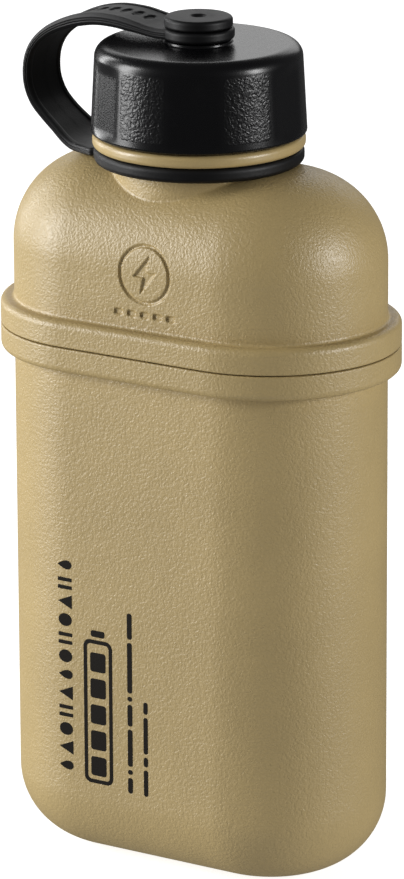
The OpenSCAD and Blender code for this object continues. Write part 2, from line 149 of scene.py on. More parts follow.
def rounded_path(
    corners: Sequence[Corner], step: float = 0.6, span: float = 4.0, fine: float = 0.08
) -> Array:
    """A profile through corners, each turned on an arc that is tangent to both of its sides.

    An arc of radius r at a corner that turns by angle a starts r * tan(a / 2) before it. Each
    straight has a point close to both of its ends, so that smooth shading stays on the arcs.

    Args:
        corners: the corners in order. The first and last stay sharp.
        step: the longest chord on an arc.
        span: the longest chord on a straight.
        fine: how far from a straight's ends its extra points lie.

    Returns:
        The points as rows of x and z.
    """
    place = np.array([[c.x, c.z] for c in corners])
    runs: list[Array] = [place[:1]]
    for i in range(1, len(corners) - 1):
        back, ahead = place[i - 1] - place[i], place[i + 1] - place[i]
        back, ahead = back / np.linalg.norm(back), ahead / np.linalg.norm(ahead)
        between = math.acos(float(np.clip(back @ ahead, -1.0, 1.0)))
        radius = corners[i].radius
        if radius <= 0.0 or between > math.pi - 1e-3:
            runs.append(place[i : i + 1])
            continue
        reach = radius / math.tan(between / 2)
        middle = place[i] + (back + ahead) / np.linalg.norm(back + ahead) * radius / math.sin(between / 2)
        first = place[i] + back * reach - middle
        last = place[i] + ahead * reach - middle
        turn = math.pi - between
        count = max(5, math.ceil(radius * turn / step))
        share = np.linspace(0.0, 1.0, count + 1)[:, None]
        arc = (np.sin((1 - share) * turn) * first + np.sin(share * turn) * last) / math.sin(turn)
        runs.append(middle + arc)
    runs.append(place[-1:])
    points: list[Array] = []
    for run, following in zip(runs, runs[1:]):
        points.append(run)
        start, end = run[-1], following[0]
        length = float(np.linalg.norm(end - start))
        if length > 4 * fine:
            inner = stations([(fine, 1), (length - fine, span)]) / length
            points.append(start + (end - start) * inner[:, None])
    points.append(runs[-1])
    return np.concatenate(points)


def spline(knots: Array, count: int) -> Array:
    """A cardinal curve through knots, evenly spaced along its length.

    Between knots b and c with neighbours a and d the point at t is the cubic Hermite curve with
    tangents (c - a) / 2 and (d - b) / 2.

    Args:
        knots: the points to pass through, one a row.
        count: how many points to return.

    Returns:
        The points, one a row.
    """
    padded = np.concatenate([2 * knots[:1] - knots[1:2], knots, 2 * knots[-1:] - knots[-2:-1]])
    t = np.linspace(0.0, 1.0, 24, endpoint=False)[None, :, None]
    a, b, c, d = (padded[i : len(padded) - 3 + i][:, None, :] for i in range(4))
    curve = (
        b * (1 - 3 * t**2 + 2 * t**3)
        + c * (3 * t**2 - 2 * t**3)
        + (c - a) / 2 * (t - 2 * t**2 + t**3)
        + (d - b) / 2 * (t**3 - t**2)
    ).reshape(-1, knots.shape[1])
    curve = np.concatenate([curve, knots[-1:]])
    along = np.concatenate([[0.0], np.cumsum(np.linalg.norm(np.diff(curve, axis=0), axis=1))])
    even = np.linspace(0.0, along[-1], count)
    return np.stack([np.interp(even, along, curve[:, k]) for k in range(curve.shape[1])], axis=1)


# ---------------------------------------------------------------- flat shapes, as distances


def disc_distance(x: Array, z: Array, cx: float, cz: float, radius: float) -> Array:
    """Distance outside a disc: the distance from its centre less its radius."""
    return np.hypot(x - cx, z - cz) - radius


def bar_distance(x: Array, z: Array, centre: Pair, size: Pair, corner: float) -> Array:
    """Distance outside a rounded bar: that of the box shrunk by corner, less corner.

    Args:
        x: first coordinates.
        z: second coordinates.
        centre: the bar's middle.
        size: its full length along x and z.
        corner: the radius of its corners.

    Returns:
        Signed distances, negative inside.
    """
    qx = np.abs(x - centre[0]) - size[0] / 2 + corner
    qz = np.abs(z - centre[1]) - size[1] / 2 + corner
    return np.hypot(np.maximum(qx, 0), np.maximum(qz, 0)) + np.minimum(np.maximum(qx, qz), 0) - corner


def polygon_distance(x: Array, z: Array, corners: Sequence[Pair]) -> Array:
    """Distance outside a polygon: to the nearest side, negative where a ray crosses an odd number of sides.

    Args:
        x: first coordinates.
        z: second coordinates.
        corners: the polygon's corners in order.

    Returns:
        Signed distances, negative inside.
    """
    nearest = np.full(x.shape, np.inf)
    inside = np.zeros(x.shape, bool)
    for (ax, az), (bx, bz) in zip(corners, [*corners[1:], corners[0]]):
        ex, ez = bx - ax, bz - az
        t = np.clip(((x - ax) * ex + (z - az) * ez) / (ex * ex + ez * ez), 0, 1)
        nearest = np.minimum(nearest, np.hypot(x - ax - t * ex, z - az - t * ez))
        if az != bz:
            inside ^= ((az > z) != (bz > z)) & (x < ax + (z - az) * ex / ez)
    return np.where(inside, -nearest, nearest)


# ---------------------------------------------------------------- surfaces


@dataclass
class Surface:
    """A grid of points in millimetres, rows by columns by three, and how its edges join."""

    points: Array
    rows_join: bool = False
    columns_join: bool = True
    marks: Mapping[str, Array] = field(default_factory=dict)

    def quads(self, first: int) -> NDArray[np.int64]:
        """The grid's faces, four vertex numbers each, counted from first."""
        rows, columns = self.points.shape[:2]
        i, j = np.meshgrid(
            np.arange(rows if self.rows_join else rows - 1),
            np.arange(columns if self.columns_join else columns - 1),
            indexing="ij",
        )
        i2, j2 = (i + 1) % rows, (j + 1) % columns
        corners = [i * columns + j, i2 * columns + j, i2 * columns + j2, i * columns + j2]
        return np.stack(corners, axis=-1).reshape(-1, 4) + first

    def normals(self) -> Array:
        """Unit normals from the cross product of the central differences along rows and columns."""
        pad = "wrap" if self.columns_join else "edge"
        wide = np.pad(self.points, ((0, 0), (1, 1), (0, 0)), mode=pad)
        across = wide[:, 2:] - wide[:, :-2]
        tall = np.pad(self.points, ((1, 1), (0, 0), (0, 0)), mode="wrap" if self.rows_join else "edge")
        along = tall[2:] - tall[:-2]
        normal = np.cross(across, along)
        return normal / np.maximum(np.linalg.norm(normal, axis=-1, keepdims=True), 1e-9)


def turned(profile: Array, columns: int) -> Surface:
    """A profile of radius and height turned once round the Z axis: (r cos a, r sin a, z)."""
    angle = np.linspace(0.0, 2 * math.pi, columns, endpoint=False)
    radius, height = profile[:, :1], profile[:, 1:]
    height = np.broadcast_to(height, (len(profile), columns))
    points = np.stack([radius * np.cos(angle), radius * np.sin(angle), height], axis=-1)
    return Surface(points, rows_join=bool(radius[0, 0] > 0 and radius[-1, 0] > 0))


def plate(outline: Array, back: float, front: float) -> Surface:
    """A thin plate on the front of the case: an outline in x and z, closed in the middle on both faces.

    Args:
        outline: the outline's points, rows of x and z.
        back: y of its hidden face.
        front: y of its seen face.

    Returns:
        A closed surface with a pole in the middle of each face.
    """
    return frame_plate(outline, outline.mean(axis=0, keepdims=True).repeat(len(outline), axis=0), back, front)


def bar_outline(x0: float, x1: float, z0: float, z1: float, corner: float, steps: int = 6) -> Array:
    """Outline of a rounded bar: a quarter circle of radius corner about each corner's centre.

    Args:
        x0: least x.
        x1: greatest x.
        z0: least z.
        z1: greatest z.
        corner: the radius of its corners.
        steps: how many chords each quarter circle takes.

    Returns:
        The points as rows of x and z.
    """
    quarter = np.linspace(0.0, math.pi / 2, steps + 1)
    angle = (quarter + np.arange(4)[:, None] * math.pi / 2).ravel()
    cx = np.repeat([x1 - corner, x0 + corner, x0 + corner, x1 - corner], steps + 1)
    cz = np.repeat([z1 - corner, z1 - corner, z0 + corner, z0 + corner], steps + 1)
    return np.stack([cx + corner * np.cos(angle), cz + corner * np.sin(angle)], axis=-1)


def frame_plate(outer: Array, inner: Array, back: float, front: float) -> Surface:
    """A thin closed band between an outer and an inner outline of equally many points.

    Args:
        outer: its outside, rows of x and z.
        inner: its inside, or one point repeated, which fills the plate.
        back: y of its hidden face.
        front: y of its seen face.

    Returns:
        A closed surface.
    """
    rings = [(inner, back), (outer, back), (outer, front), (inner, front)]
    points = [np.stack([xz[:, 0], np.full(len(xz), y), xz[:, 1]], axis=-1) for xz, y in rings]
    return Surface(np.stack(points), rows_join=bool(np.ptp(inner, axis=0).max() > 0))


# ---------------------------------------------------------------- shader expressions


# Sockets of the Mix node that carry colours; its names repeat, so they are told apart by number.
MIX_FACTOR, MIX_A, MIX_B, MIX_RESULT = 0, 6, 7, 2


def with_alpha(colour: Any) -> Any:
    """A colour as the four numbers that a socket takes. A Wire is handed back as it is."""
    return colour if isinstance(colour, Wire) else (*colour, 1.0)


def tinted(colour: Colour, factor: float = 1.0, lift: float = 0.0) -> Colour:
    """A colour times factor plus lift, with no part above 1."""
    red, green, blue = (min(1.0, part * factor + lift) for part in colour)
    return red, green, blue


class Wire:
    """An output socket, or a number, that Python's operators join into Math nodes."""

    def __init__(self, graph: "Graph", source: Any) -> None:
        """Holds the socket and the graph that new nodes go in."""
        self.graph = graph
        self.source = source

    def _math(self, operation: str, *values: Any) -> "Wire":
        """A Math node of that operation on these values."""
        return self.graph.node("ShaderNodeMath", {"operation": operation}, dict(enumerate(values)))

    def __add__(self, other: Any) -> "Wire":
        """self + other."""
        return self._math("ADD", self, other)

    def __radd__(self, other: Any) -> "Wire":
        """other + self."""
        return self._math("ADD", other, self)

    def __sub__(self, other: Any) -> "Wire":
        """self - other."""
        return self._math("SUBTRACT", self, other)

    def __rsub__(self, other: Any) -> "Wire":
        """other - self."""
        return self._math("SUBTRACT", other, self)

    def __mul__(self, other: Any) -> "Wire":
        """self * other."""
        return self._math("MULTIPLY", self, other)

    def __rmul__(self, other: Any) -> "Wire":
        """other * self."""
        return self._math("MULTIPLY", other, self)

    def fraction(self) -> "Wire":
        """What is left of self above the whole number below it."""
        return self._math("FRACT", self)

    def step(self, low: float, high: float) -> "Wire":
        """0 below low and 1 above high, smooth between them."""
        values = {"Value": self, "From Min": low, "From Max": high, "To Min": 0.0, "To Max": 1.0}
        return self.graph.node("ShaderNodeMapRange", {"interpolation_type": "SMOOTHSTEP"}, values, "Result")


class Graph:
    """The node tree of one material."""

    def __init__(self, name: str) -> None:
        """Starts an empty tree in a new material."""
        self.material = bpy.data.materials.new(name)
        self.material.use_nodes = True
        self.tree = self.material.node_tree
        self.tree.nodes.clear()

    def node(
        self,
        kind: str,
        settings: Mapping[str, Any] | None = None,
        inputs: Mapping[Any, Any] | None = None,
        output: Any = 0,
    ) -> Wire:
        """Adds a node.

        Args:
            kind: the node's type.
            settings: its own properties.
            inputs: socket name or number to a value or a Wire.
            output: name or number of the socket that is returned.

        Returns:
            The chosen output.
        """
        made = self.tree.nodes.new(kind)
        for key, value in (settings or {}).items():
            setattr(made, key, value)
        for key, value in (inputs or {}).items():
            if isinstance(value, Wire):
                self.tree.links.new(value.source, made.inputs[key])
            else:
                made.inputs[key].default_value = value
        return Wire(self, made.outputs[output] if len(made.outputs) else None)

    def place(self) -> Wire:
        """The point on the object, in its own metres."""
        return self.node("ShaderNodeTexCoord", output="Object")

    def noise(self, where: Wire, scale: float, detail: float = 2.0, roughness: float = 0.5) -> Wire:
        """Noise from 0 to 1 at that many features a metre."""
        inputs = {"Vector": where, "Scale": scale, "Detail": detail, "Roughness": roughness}
        return self.node("ShaderNodeTexNoise", {}, inputs)

    def mix(self, factor: Any, a: Any, b: Any) -> Wire:
        """Colour a where factor is 0 and b where it is 1."""
        inputs = {MIX_FACTOR: factor, MIX_A: with_alpha(a), MIX_B: with_alpha(b)}
        return self.node("ShaderNodeMix", {"data_type": "RGBA"}, inputs, MIX_RESULT)

    def warped(self, where: Wire, scale: float, amount: float) -> Wire:
        """where, moved by coloured noise of that scale times amount."""
        drift = self.node("ShaderNodeTexNoise", {}, {"Vector": where, "Scale": scale, "Detail": 1.0}, 1)
        moved = self.node("ShaderNodeVectorMath", {"operation": "SUBTRACT"}, {0: drift, 1: (0.5, 0.5, 0.5)})
        moved = self.node("ShaderNodeVectorMath", {"operation": "SCALE"}, {0: moved, "Scale": amount})
        return self.node("ShaderNodeVectorMath", {"operation": "ADD"}, {0: where, 1: moved})

    def cells(self, where: Wire, scale: float) -> Wire:
        """Distance to the edge of the nearest cell, in cells."""
        settings = {"feature": "DISTANCE_TO_EDGE"}
        return self.node("ShaderNodeTexVoronoi", settings, {"Vector": where, "Scale": scale}, "Distance")

    def bump(self, height: Wire, depth_mm: float) -> Wire:
        """A normal from a height of 0 to 1 that stands for depth_mm millimetres."""
        return self.node("ShaderNodeBump", {}, {"Height": height, "Distance": depth_mm * MM, "Strength": 1.0})

    def finish(self, **sockets: Any) -> bpy.types.Material:
        """Ends the tree in a Principled shader.

        Args:
            **sockets: socket name with underscores for blanks, to a value or a Wire.

        Returns:
            The finished material.
        """
        inputs = {name.replace("_", " "): value for name, value in sockets.items()}
        inputs["Base Color"] = with_alpha(inputs["Base Color"])
        shader = self.node("ShaderNodeBsdfPrincipled", {}, inputs)
        self.node("ShaderNodeOutputMaterial", {}, {"Surface": shader})
        return self.material


# ---------------------------------------------------------------- finishes


@dataclass(frozen=True)
class GrainedPlastic:
    """Moulded plastic with a fine leather grain: flat-topped pebbles of warped noise with thin valleys, which
    are darkened a little as painted shade.
    """

    name: str
    colour: Colour
    grain_mm: float = 0.48
    depth_mm: float = 0.032
    roughness: float = 0.4
    crease_share: float = 0.35
    fine_share: float = 0.2
    wide_share: float = 1.4
    valley_painted_shade: float = 0.12

    def build(self) -> bpy.types.Material:
        """The material."""
        g = Graph(self.name)
        where = g.place()
        per_metre = 1.0 / (self.grain_mm * MM)
        warped = g.warped(where, per_metre * 0.5, self.grain_mm * MM * 0.8)
        pebble = g.noise(warped, per_metre, 1.2, 0.55).step(0.3, 0.66)
        crease = g.cells(warped, per_metre * 0.8).step(0.0, 0.22)
        fine = g.noise(where, per_metre * 2.4, 1.0, 0.5)
        wide = g.noise(where, per_metre * 0.16, 2.0, 0.5)
        height = pebble + crease * self.crease_share + fine * self.fine_share + wide * self.wide_share
        tone = g.noise(where, 45.0, 3.0, 0.55).step(0.3, 0.7)
        colour = g.mix(tone, tinted(self.colour, 0.95), tinted(self.colour, 1.04))
        # Painted shade: the grain's valleys at the cell edges are mixed towards a darker copy of the colour.
        colour = g.mix((1.0 - crease) * self.valley_painted_shade, colour, tinted(self.colour, 0.6))
        rough = self.roughness + (1.0 - pebble) * 0.08 + (fine - 0.5) * 0.06
        return g.finish(
            Base_Color=colour, Roughness=rough, Specular_IOR_Level=0.7, Normal=g.bump(height, self.depth_mm)
        )


@dataclass(frozen=True)
class CapPlastic:
    """Satin black plastic whose side panels, marked by the mesh, carry a wrinkled grain."""

    name: str
    colour: Colour
    smooth_roughness: float = 0.27
    wrinkles_per_metre: float = 2100.0
    satin_per_metre: float = 5200.0
    depth_mm: float = 0.032

    def build(self) -> bpy.types.Material:
        """The material."""
        g = Graph(self.name)
        where = g.place()
        panel = g.node("ShaderNodeAttribute", {"attribute_name": "grain"}, {}, "Fac")
        warped = g.warped(where, 1300.0, 0.0006)
        wrinkle = g.noise(warped, self.wrinkles_per_metre, 1.2, 0.5).step(0.3, 0.68)
        satin = g.noise(where, self.satin_per_metre, 2.0, 0.6)
        height = panel * wrinkle + satin * 0.12
        rough = self.smooth_roughness + panel * 0.04 + (satin - 0.5) * 0.08
        dust = g.noise(where, 160.0, 3.0, 0.6).step(0.55, 0.8)
        return g.finish(
            Base_Color=g.mix(dust * 0.5, self.colour, tinted(self.colour, lift=0.003)),
            Roughness=rough,
            Specular_IOR_Level=0.4,
            Normal=g.bump(height, self.depth_mm),
        )


@dataclass(frozen=True)
class SoftRubber:
    """Flexible rubber: a smooth satin skin with a faint ripple and rubbed patches."""

    name: str
    colour: Colour
    roughness: float = 0.5
    rubbed: float = 0.006

    def build(self) -> bpy.types.Material:
        """The material."""
        g = Graph(self.name)
        where = g.place()
        skin = g.noise(where, 2600.0, 3.0, 0.6)
        patches = g.noise(where, 120.0, 3.0, 0.6).step(0.45, 0.75)
        return g.finish(
            Base_Color=g.mix(patches, self.colour, tinted(self.colour, lift=self.rubbed)),
            Roughness=self.roughness + patches * 0.08 + (skin - 0.5) * 0.06,
            Specular_IOR_Level=0.3,
            Normal=g.bump(skin, 0.02),
        )


@dataclass(frozen=True)
class PlainPlastic:
    """Moulded plastic with a fine spark-eroded texture."""

    name: str
    colour: Colour
    roughness: float = 0.5
    depth_mm: float = 0.015
    alpha: float = 1.0
    specular: float = 0.5

    def build(self) -> bpy.types.Material:
        """The material."""
        g = Graph(self.name)
        where = g.place()
        fine = g.noise(where, 3800.0, 2.0, 0.6)
        tone = g.noise(where, 140.0, 2.0, 0.5)
        return g.finish(
            Base_Color=g.mix(tone, tinted(self.colour, 0.9), tinted(self.colour, 1.1)),
            Roughness=self.roughness + (fine - 0.5) * 0.12,
            Alpha=self.alpha,
            Specular_IOR_Level=self.specular,
            Normal=g.bump(fine, self.depth_mm),
        )


class Lay(Enum):
    """Which way a metal's fine scratches run."""

    ALONG_X = (8.0, 900.0, 900.0)
    ALONG_Z = (900.0, 900.0, 8.0)


@dataclass(frozen=True)
class DrawnMetal:
    """Rolled or drawn sheet with scratches that run one way."""

    name: str
    colour: Colour
    lay: Lay = Lay.ALONG_Z
    roughness: float = 0.28

    def build(self) -> bpy.types.Material:
        """The material."""
        g = Graph(self.name)
        own = g.place()
        along = g.node("ShaderNodeMapping", {}, {"Vector": own, "Scale": self.lay.value})
        scratch = g.noise(along, 6.0, 3.0, 0.65)
        stain = g.noise(own, 240.0, 3.0, 0.6)
        return g.finish(
            Base_Color=g.mix(stain, self.colour, tinted(self.colour, 0.82)),
            Metallic=1.0,
            Roughness=self.roughness + (scratch - 0.5) * 0.2,
            Normal=g.bump(scratch, 0.01),
        )


@dataclass(frozen=True)
class SolderMask:
    """A circuit board: glossy mask over faint tracks on a half-millimetre grid, with gold pads."""

    name: str
    colour: Colour

    def build(self) -> bpy.types.Material:
        """The material."""
        g = Graph(self.name)
        where = g.place()
        settings = {"feature": "F1", "distance": "CHEBYCHEV"}
        tracks = g.node("ShaderNodeTexVoronoi", settings, {"Vector": where, "Scale": 380.0}, "Distance")
        line = (tracks * 9.0).fraction().step(0.45, 0.6)
        pad = g.node("ShaderNodeTexVoronoi", settings, {"Vector": where, "Scale": 520.0}, "Distance")
        gold = 1.0 - pad.step(0.09, 0.12)
        mask = g.mix(line, self.colour, tinted(self.colour, 1.9))
        return g.finish(
            Base_Color=g.mix(gold, mask, (0.75, 0.52, 0.22)),
            Metallic=gold * 0.9,
            Roughness=0.32 - line * 0.06,
            Normal=g.bump(line + gold, 0.02),
        )


@dataclass(frozen=True)
class Foam:
    """Closed-cell foam: open pits of mixed size, with painted shade in the low borders between them."""

    name: str
    colour: Colour

    def build(self) -> bpy.types.Material:
        """The material."""
        g = Graph(self.name)
        where = g.place()
        pits = g.cells(where, 1400.0).step(0.0, 0.3)
        # Painted shade: the low borders between cells, the bump's valleys, take half the colour.
        colour = g.mix(pits, tinted(self.colour, 0.5), self.colour)
        return g.finish(Base_Color=colour, Roughness=0.95 - pits * 0.1, Normal=g.bump(pits, 0.2))


@dataclass(frozen=True)
class CellWrap:
    """Shrink wrap on a cell: tight glossy film with faint ripples near its ends and a bare can top."""

    name: str
    colour: Colour
    top_mm: float

    def build(self) -> bpy.types.Material:
        """The material."""
        g = Graph(self.name)
        own = g.place()
        height = g.node("ShaderNodeSeparateXYZ", {}, {"Vector": own}, "Z") * (1.0 / MM)
        bare = height.step(self.top_mm - 0.9, self.top_mm - 0.7)
        ripple = g.noise(own, 420.0, 2.0, 0.5)
        return g.finish(
            Base_Color=g.mix(bare, self.colour, (0.72, 0.72, 0.7)),
            Metallic=bare,
            Roughness=0.22 + ripple * 0.1 + bare * 0.1,
            Normal=g.bump(ripple, 0.05),
        )


@dataclass(frozen=True)
class StudioFloor:
    """The plain pale floor, which glows a little so that it stays pale far from the lights."""

    name: str = "floor_paper"
    glow: float = 0.8

    def build(self) -> bpy.types.Material:
        """The material."""
        g = Graph(self.name)
        return g.finish(
            Base_Color=(0.6, 0.6, 0.6),
            Roughness=0.9,
            Specular_IOR_Level=0.1,
            Emission_Color=(1.0, 1.0, 1.0, 1.0),
            Emission_Strength=self.glow,
        )


Finish = GrainedPlastic | CapPlastic | SoftRubber | PlainPlastic | DrawnMetal | SolderMask | Foam | CellWrap


class FinishBook:
    """Every finish by its record slot, each built once."""

    def __init__(self) -> None:
        """Lists the finishes. Each one's name is the record's slot."""
        listed: list[Finish] = [
            GrainedPlastic("shell_plastic", (0.44, 0.327, 0.143)),
            GrainedPlastic("neck_plastic", (0.44, 0.327, 0.143), 0.4, 0.006, 0.34),
            CapPlastic("cap_plastic", (0.0015, 0.0015, 0.002)),
            SoftRubber("strap_rubber", (0.002, 0.002, 0.0025), rubbed=0.003),
            SoftRubber("seal_rubber", (0.62, 0.20, 0.03), 0.5, 0.02),
            SoftRubber("case_seal_rubber", (0.02, 0.02, 0.02), 0.6),
            SoftRubber("button_rubber", (0.62, 0.20, 0.03), 0.45, 0.02),
            SoftRubber("lead_red", (0.50, 0.015, 0.01), 0.4),
            SoftRubber("lead_black", (0.012, 0.012, 0.012), 0.4),
            PlainPlastic("print_ink", (0.009, 0.007, 0.005), 0.5, 0.02, specular=0.15),
            PlainPlastic("inner_plastic", (0.03, 0.03, 0.033), 0.42),
            PlainPlastic("cradle_plastic", (0.07, 0.07, 0.075), 0.55),
            PlainPlastic("tongue_plastic", (0.015, 0.015, 0.016), 0.35),
            PlainPlastic("chip_plastic", (0.018, 0.018, 0.018), 0.45, 0.03),
            PlainPlastic("capacitor_ceramic", (0.42, 0.30, 0.18), 0.35, 0.02),
            PlainPlastic("insulator_paper", (0.75, 0.74, 0.68), 0.85, 0.05),
            PlainPlastic("ferrite", (0.08, 0.08, 0.085), 0.6, 0.06),
            PlainPlastic("led_lens", (0.75, 0.85, 0.9), 0.12, 0.002, 0.55),
            PlainPlastic("led_package", (0.8, 0.78, 0.66), 0.3, 0.004),
            DrawnMetal("nickel", (0.62, 0.60, 0.56), Lay.ALONG_X, 0.3),
            DrawnMetal("screw_steel", (0.55, 0.55, 0.56)),
            DrawnMetal("socket_steel", (0.68, 0.68, 0.69)),
            DrawnMetal("switch_metal", (0.62, 0.62, 0.63), Lay.ALONG_X),
            SolderMask("board", (0.008, 0.075, 0.035)),
            Foam("foam", (0.05, 0.05, 0.055)),
            CellWrap("cell_can", (0.02, 0.12, 0.32), 76.0),
        ]
        self._finishes = {finish.name: finish for finish in listed}
        self._built: dict[str, bpy.types.Material] = {}

    def get(self, slot: str) -> bpy.types.Material:
        """The material of a slot, built on first use."""
        if slot not in self._built:
            self._built[slot] = self._finishes[slot].build()
        return self._built[slot]


# ---------------------------------------------------------------- putting pieces in


class Bench:
    """Turns surfaces into dressed pieces of the scene."""

    def __init__(self, book: FinishBook, crease_deg: float = 38.0) -> None:
        """Keeps the finishes, and the angle past which an edge stays sharp."""
        self.book = book
        self.crease_deg = crease_deg

    def make(self, name: str, surfaces: Sequence[Surface], slot: str, finish: str = "") -> bpy.types.Object:
        """Welds surfaces into one smooth-shaded object at the origin.

        Args:
            name: the piece's name.
            surfaces: its grids. Doubles are merged, which closes poles and seams.
            slot: the record slot whose finish it takes.
            finish: its finish, where that isn't the slot's own.

        Returns:
            The object.
        """
        points = np.concatenate([s.points.reshape(-1, 3) for s in surfaces]) * MM
        starts = np.cumsum([0, *(s.points.shape[0] * s.points.shape[1] for s in surfaces)])
        quads = np.concatenate([s.quads(int(first)) for s, first in zip(surfaces, starts)])
        mesh = bpy.data.meshes.new(name)
        mesh.from_pydata(points, [], quads)
        for mark in sorted({key for s in surfaces for key in s.marks}):
            none = np.zeros(1)
            values = [np.broadcast_to(s.marks.get(mark, none), s.points.shape[:2]).ravel() for s in surfaces]
            layer = mesh.attributes.new(mark, "FLOAT", "POINT")
            layer.data.foreach_set("value", np.concatenate(values).astype(np.float32))
        cage = bmesh.new()
        cage.from_mesh(mesh)
        bmesh.ops.remove_doubles(cage, verts=cage.verts, dist=WELD)
        bmesh.ops.dissolve_degenerate(cage, edges=cage.edges, dist=SLIVER)
        bmesh.ops.recalc_face_normals(cage, faces=cage.faces)
        cage.to_mesh(mesh)
        cage.free()
        mesh.shade_smooth()
        mesh.set_sharp_from_angle(angle=math.radians(self.crease_deg))
        mesh.materials.append(self.book.get(finish or slot))
        piece = bpy.data.objects.new(name, mesh)
        bpy.context.scene.collection.objects.link(piece)
        LOG.info("%s: %d vertices, %d faces, finish %s", name, len(mesh.vertices), len(mesh.polygons), slot)
        return piece


# ---------------------------------------------------------------- the case


@dataclass(frozen=True)
class CaseSizes:
    """Sizes of the two shells."""

    end_r: float = 18.4
    end_x: float = 13.1
    wall: float = 2.4
    base_round: float = 12.3
    shoulder_round: float = 14.2
    shoulder_z: float = 113.7
    seam_z: float = 86.2
    seam_half: float = 0.1
    bead_half: float = 4.1
    bead_proud: float = 2.18
    bead_edge_r: float = 0.98
    bead_foot_r: float = 0.5
    lip_r: float = 0.22
    groove: Pair = (-1.1, 0.4)
    groove_deep: float = 2.3
    tongue: Pair = (-1.0, 0.3)
    tongue_deep: float = 1.5
    neck_r: float = 13.8
    neck_bore: float = 12.5
    neck_top: float = 116.1


class Outline:
    """Stations round the stadium: a centre on the long axis and a direction outwards for each."""

    def __init__(self, sizes: CaseSizes, front: Array, arc_steps: int = 64) -> None:
        """Lays the stations out.

        Args:
            sizes: the case's sizes.
            front: places along x of the stations on the straight front, left end to right end.
            arc_steps: how many steps each half circle takes.
        """
        arc = np.linspace(-math.pi / 2, math.pi / 2, arc_steps + 1)[1:-1]
        back = np.linspace(sizes.end_x, -sizes.end_x, 27)
        angle = np.concatenate([
            np.full(len(front), -math.pi / 2), arc, np.full(len(back), math.pi / 2), arc + math.pi,
        ])
        self.centre = np.concatenate([
            front, np.full(len(arc), sizes.end_x), back, np.full(len(arc), -sizes.end_x),
        ])
        self.cos, self.sin = np.cos(angle), np.sin(angle)
        self.polar = np.arctan2(sizes.end_r * self.sin, self.centre + sizes.end_r * self.cos)

    def carry(self, profile: Array) -> Array:
        """Carries a profile of offset and height round the outline: (c + o cos a, o sin a, z)."""
        offset, height = profile[:, :1], profile[:, 1:]
        x = self.centre + offset * self.cos
        return np.stack([x, offset * self.sin, np.broadcast_to(height, x.shape)], axis=-1)


class Shoulder:
    """The dome between the sides and the neck, met on rays from the neck's axis.

    Its height depends on the distance d from the long axis of the plan: level out to where the
    rounding starts, then a quarter circle down to the side.
    """

    def __init__(self, sizes: CaseSizes, inset: float) -> None:
        """Sets the dome that lies inset inside the outer one."""
        self.round = sizes.shoulder_round - inset
        self.flat = sizes.end_r - sizes.shoulder_round
        self.top = sizes.shoulder_z - inset
        self.end_x = sizes.end_x

    @property
    def length(self) -> float:
        """Length of the profile from the long axis down to the side."""
        return self.flat + self.round * math.pi / 2

    def height(self, rho: Array, polar: Array) -> Array:
        """Height of the dome above a point rho out along a ray."""
        x, y = rho * np.cos(polar), rho * np.sin(polar)
        away = np.hypot(np.maximum(np.abs(x) - self.end_x, 0.0), y)
        over = np.clip((away - self.flat) / self.round, 0.0, 1.0)
        return self.top - self.round * (1.0 - np.sqrt(1.0 - over**2))

    def slope(self, rho: Array, polar: Array) -> Array:
        """Rise of the dome per millimetre outwards, by a central difference."""
        return (self.height(rho + 0.01, polar) - self.height(rho - 0.01, polar)) / 0.02

    def start(self, rho: Array, polar: Array) -> Array:
        """Length along the profile at which a ray is rho out."""
        x, y = rho * np.cos(polar), rho * np.sin(polar)
        away = np.hypot(np.maximum(np.abs(x) - self.end_x, 0.0), y)
        over = np.clip((away - self.flat) / self.round, 0.0, 1.0)
        return np.where(away <= self.flat, away, self.flat + self.round * np.arcsin(over))

    def on_rays(self, length: Array, polar: Array, least_rho: Array) -> Array:
        """Points at a length along the profile, on rays.

        The distance d from the long axis gives rho: d / |sin| beside the straight sides, and
        e |cos| + sqrt(d^2 - e^2 sin^2) round an end whose centre is e out.

        Args:
            length: lengths along the profile, rows by columns.
            polar: one angle for each column.
            least_rho: the smallest rho allowed in each column.

        Returns:
            Points, rows by columns by three.
        """
        turn = np.maximum(length - self.flat, 0.0) / self.round
        away = np.where(length <= self.flat, length, self.flat + self.round * np.sin(turn))
        z = self.top - self.round * (1.0 - np.cos(turn))
        cos, sin = np.cos(polar), np.sin(polar)
        beside = away / np.maximum(np.abs(sin), 1e-9)
        root = np.sqrt(np.maximum(away**2 - (self.end_x * sin) ** 2, 0.0))
        rho = np.where(beside * np.abs(cos) <= self.end_x, beside, self.end_x * np.abs(cos) + root)
        rho = np.maximum(rho, least_rho)
        return np.stack([rho * cos, rho * sin, z], axis=-1)


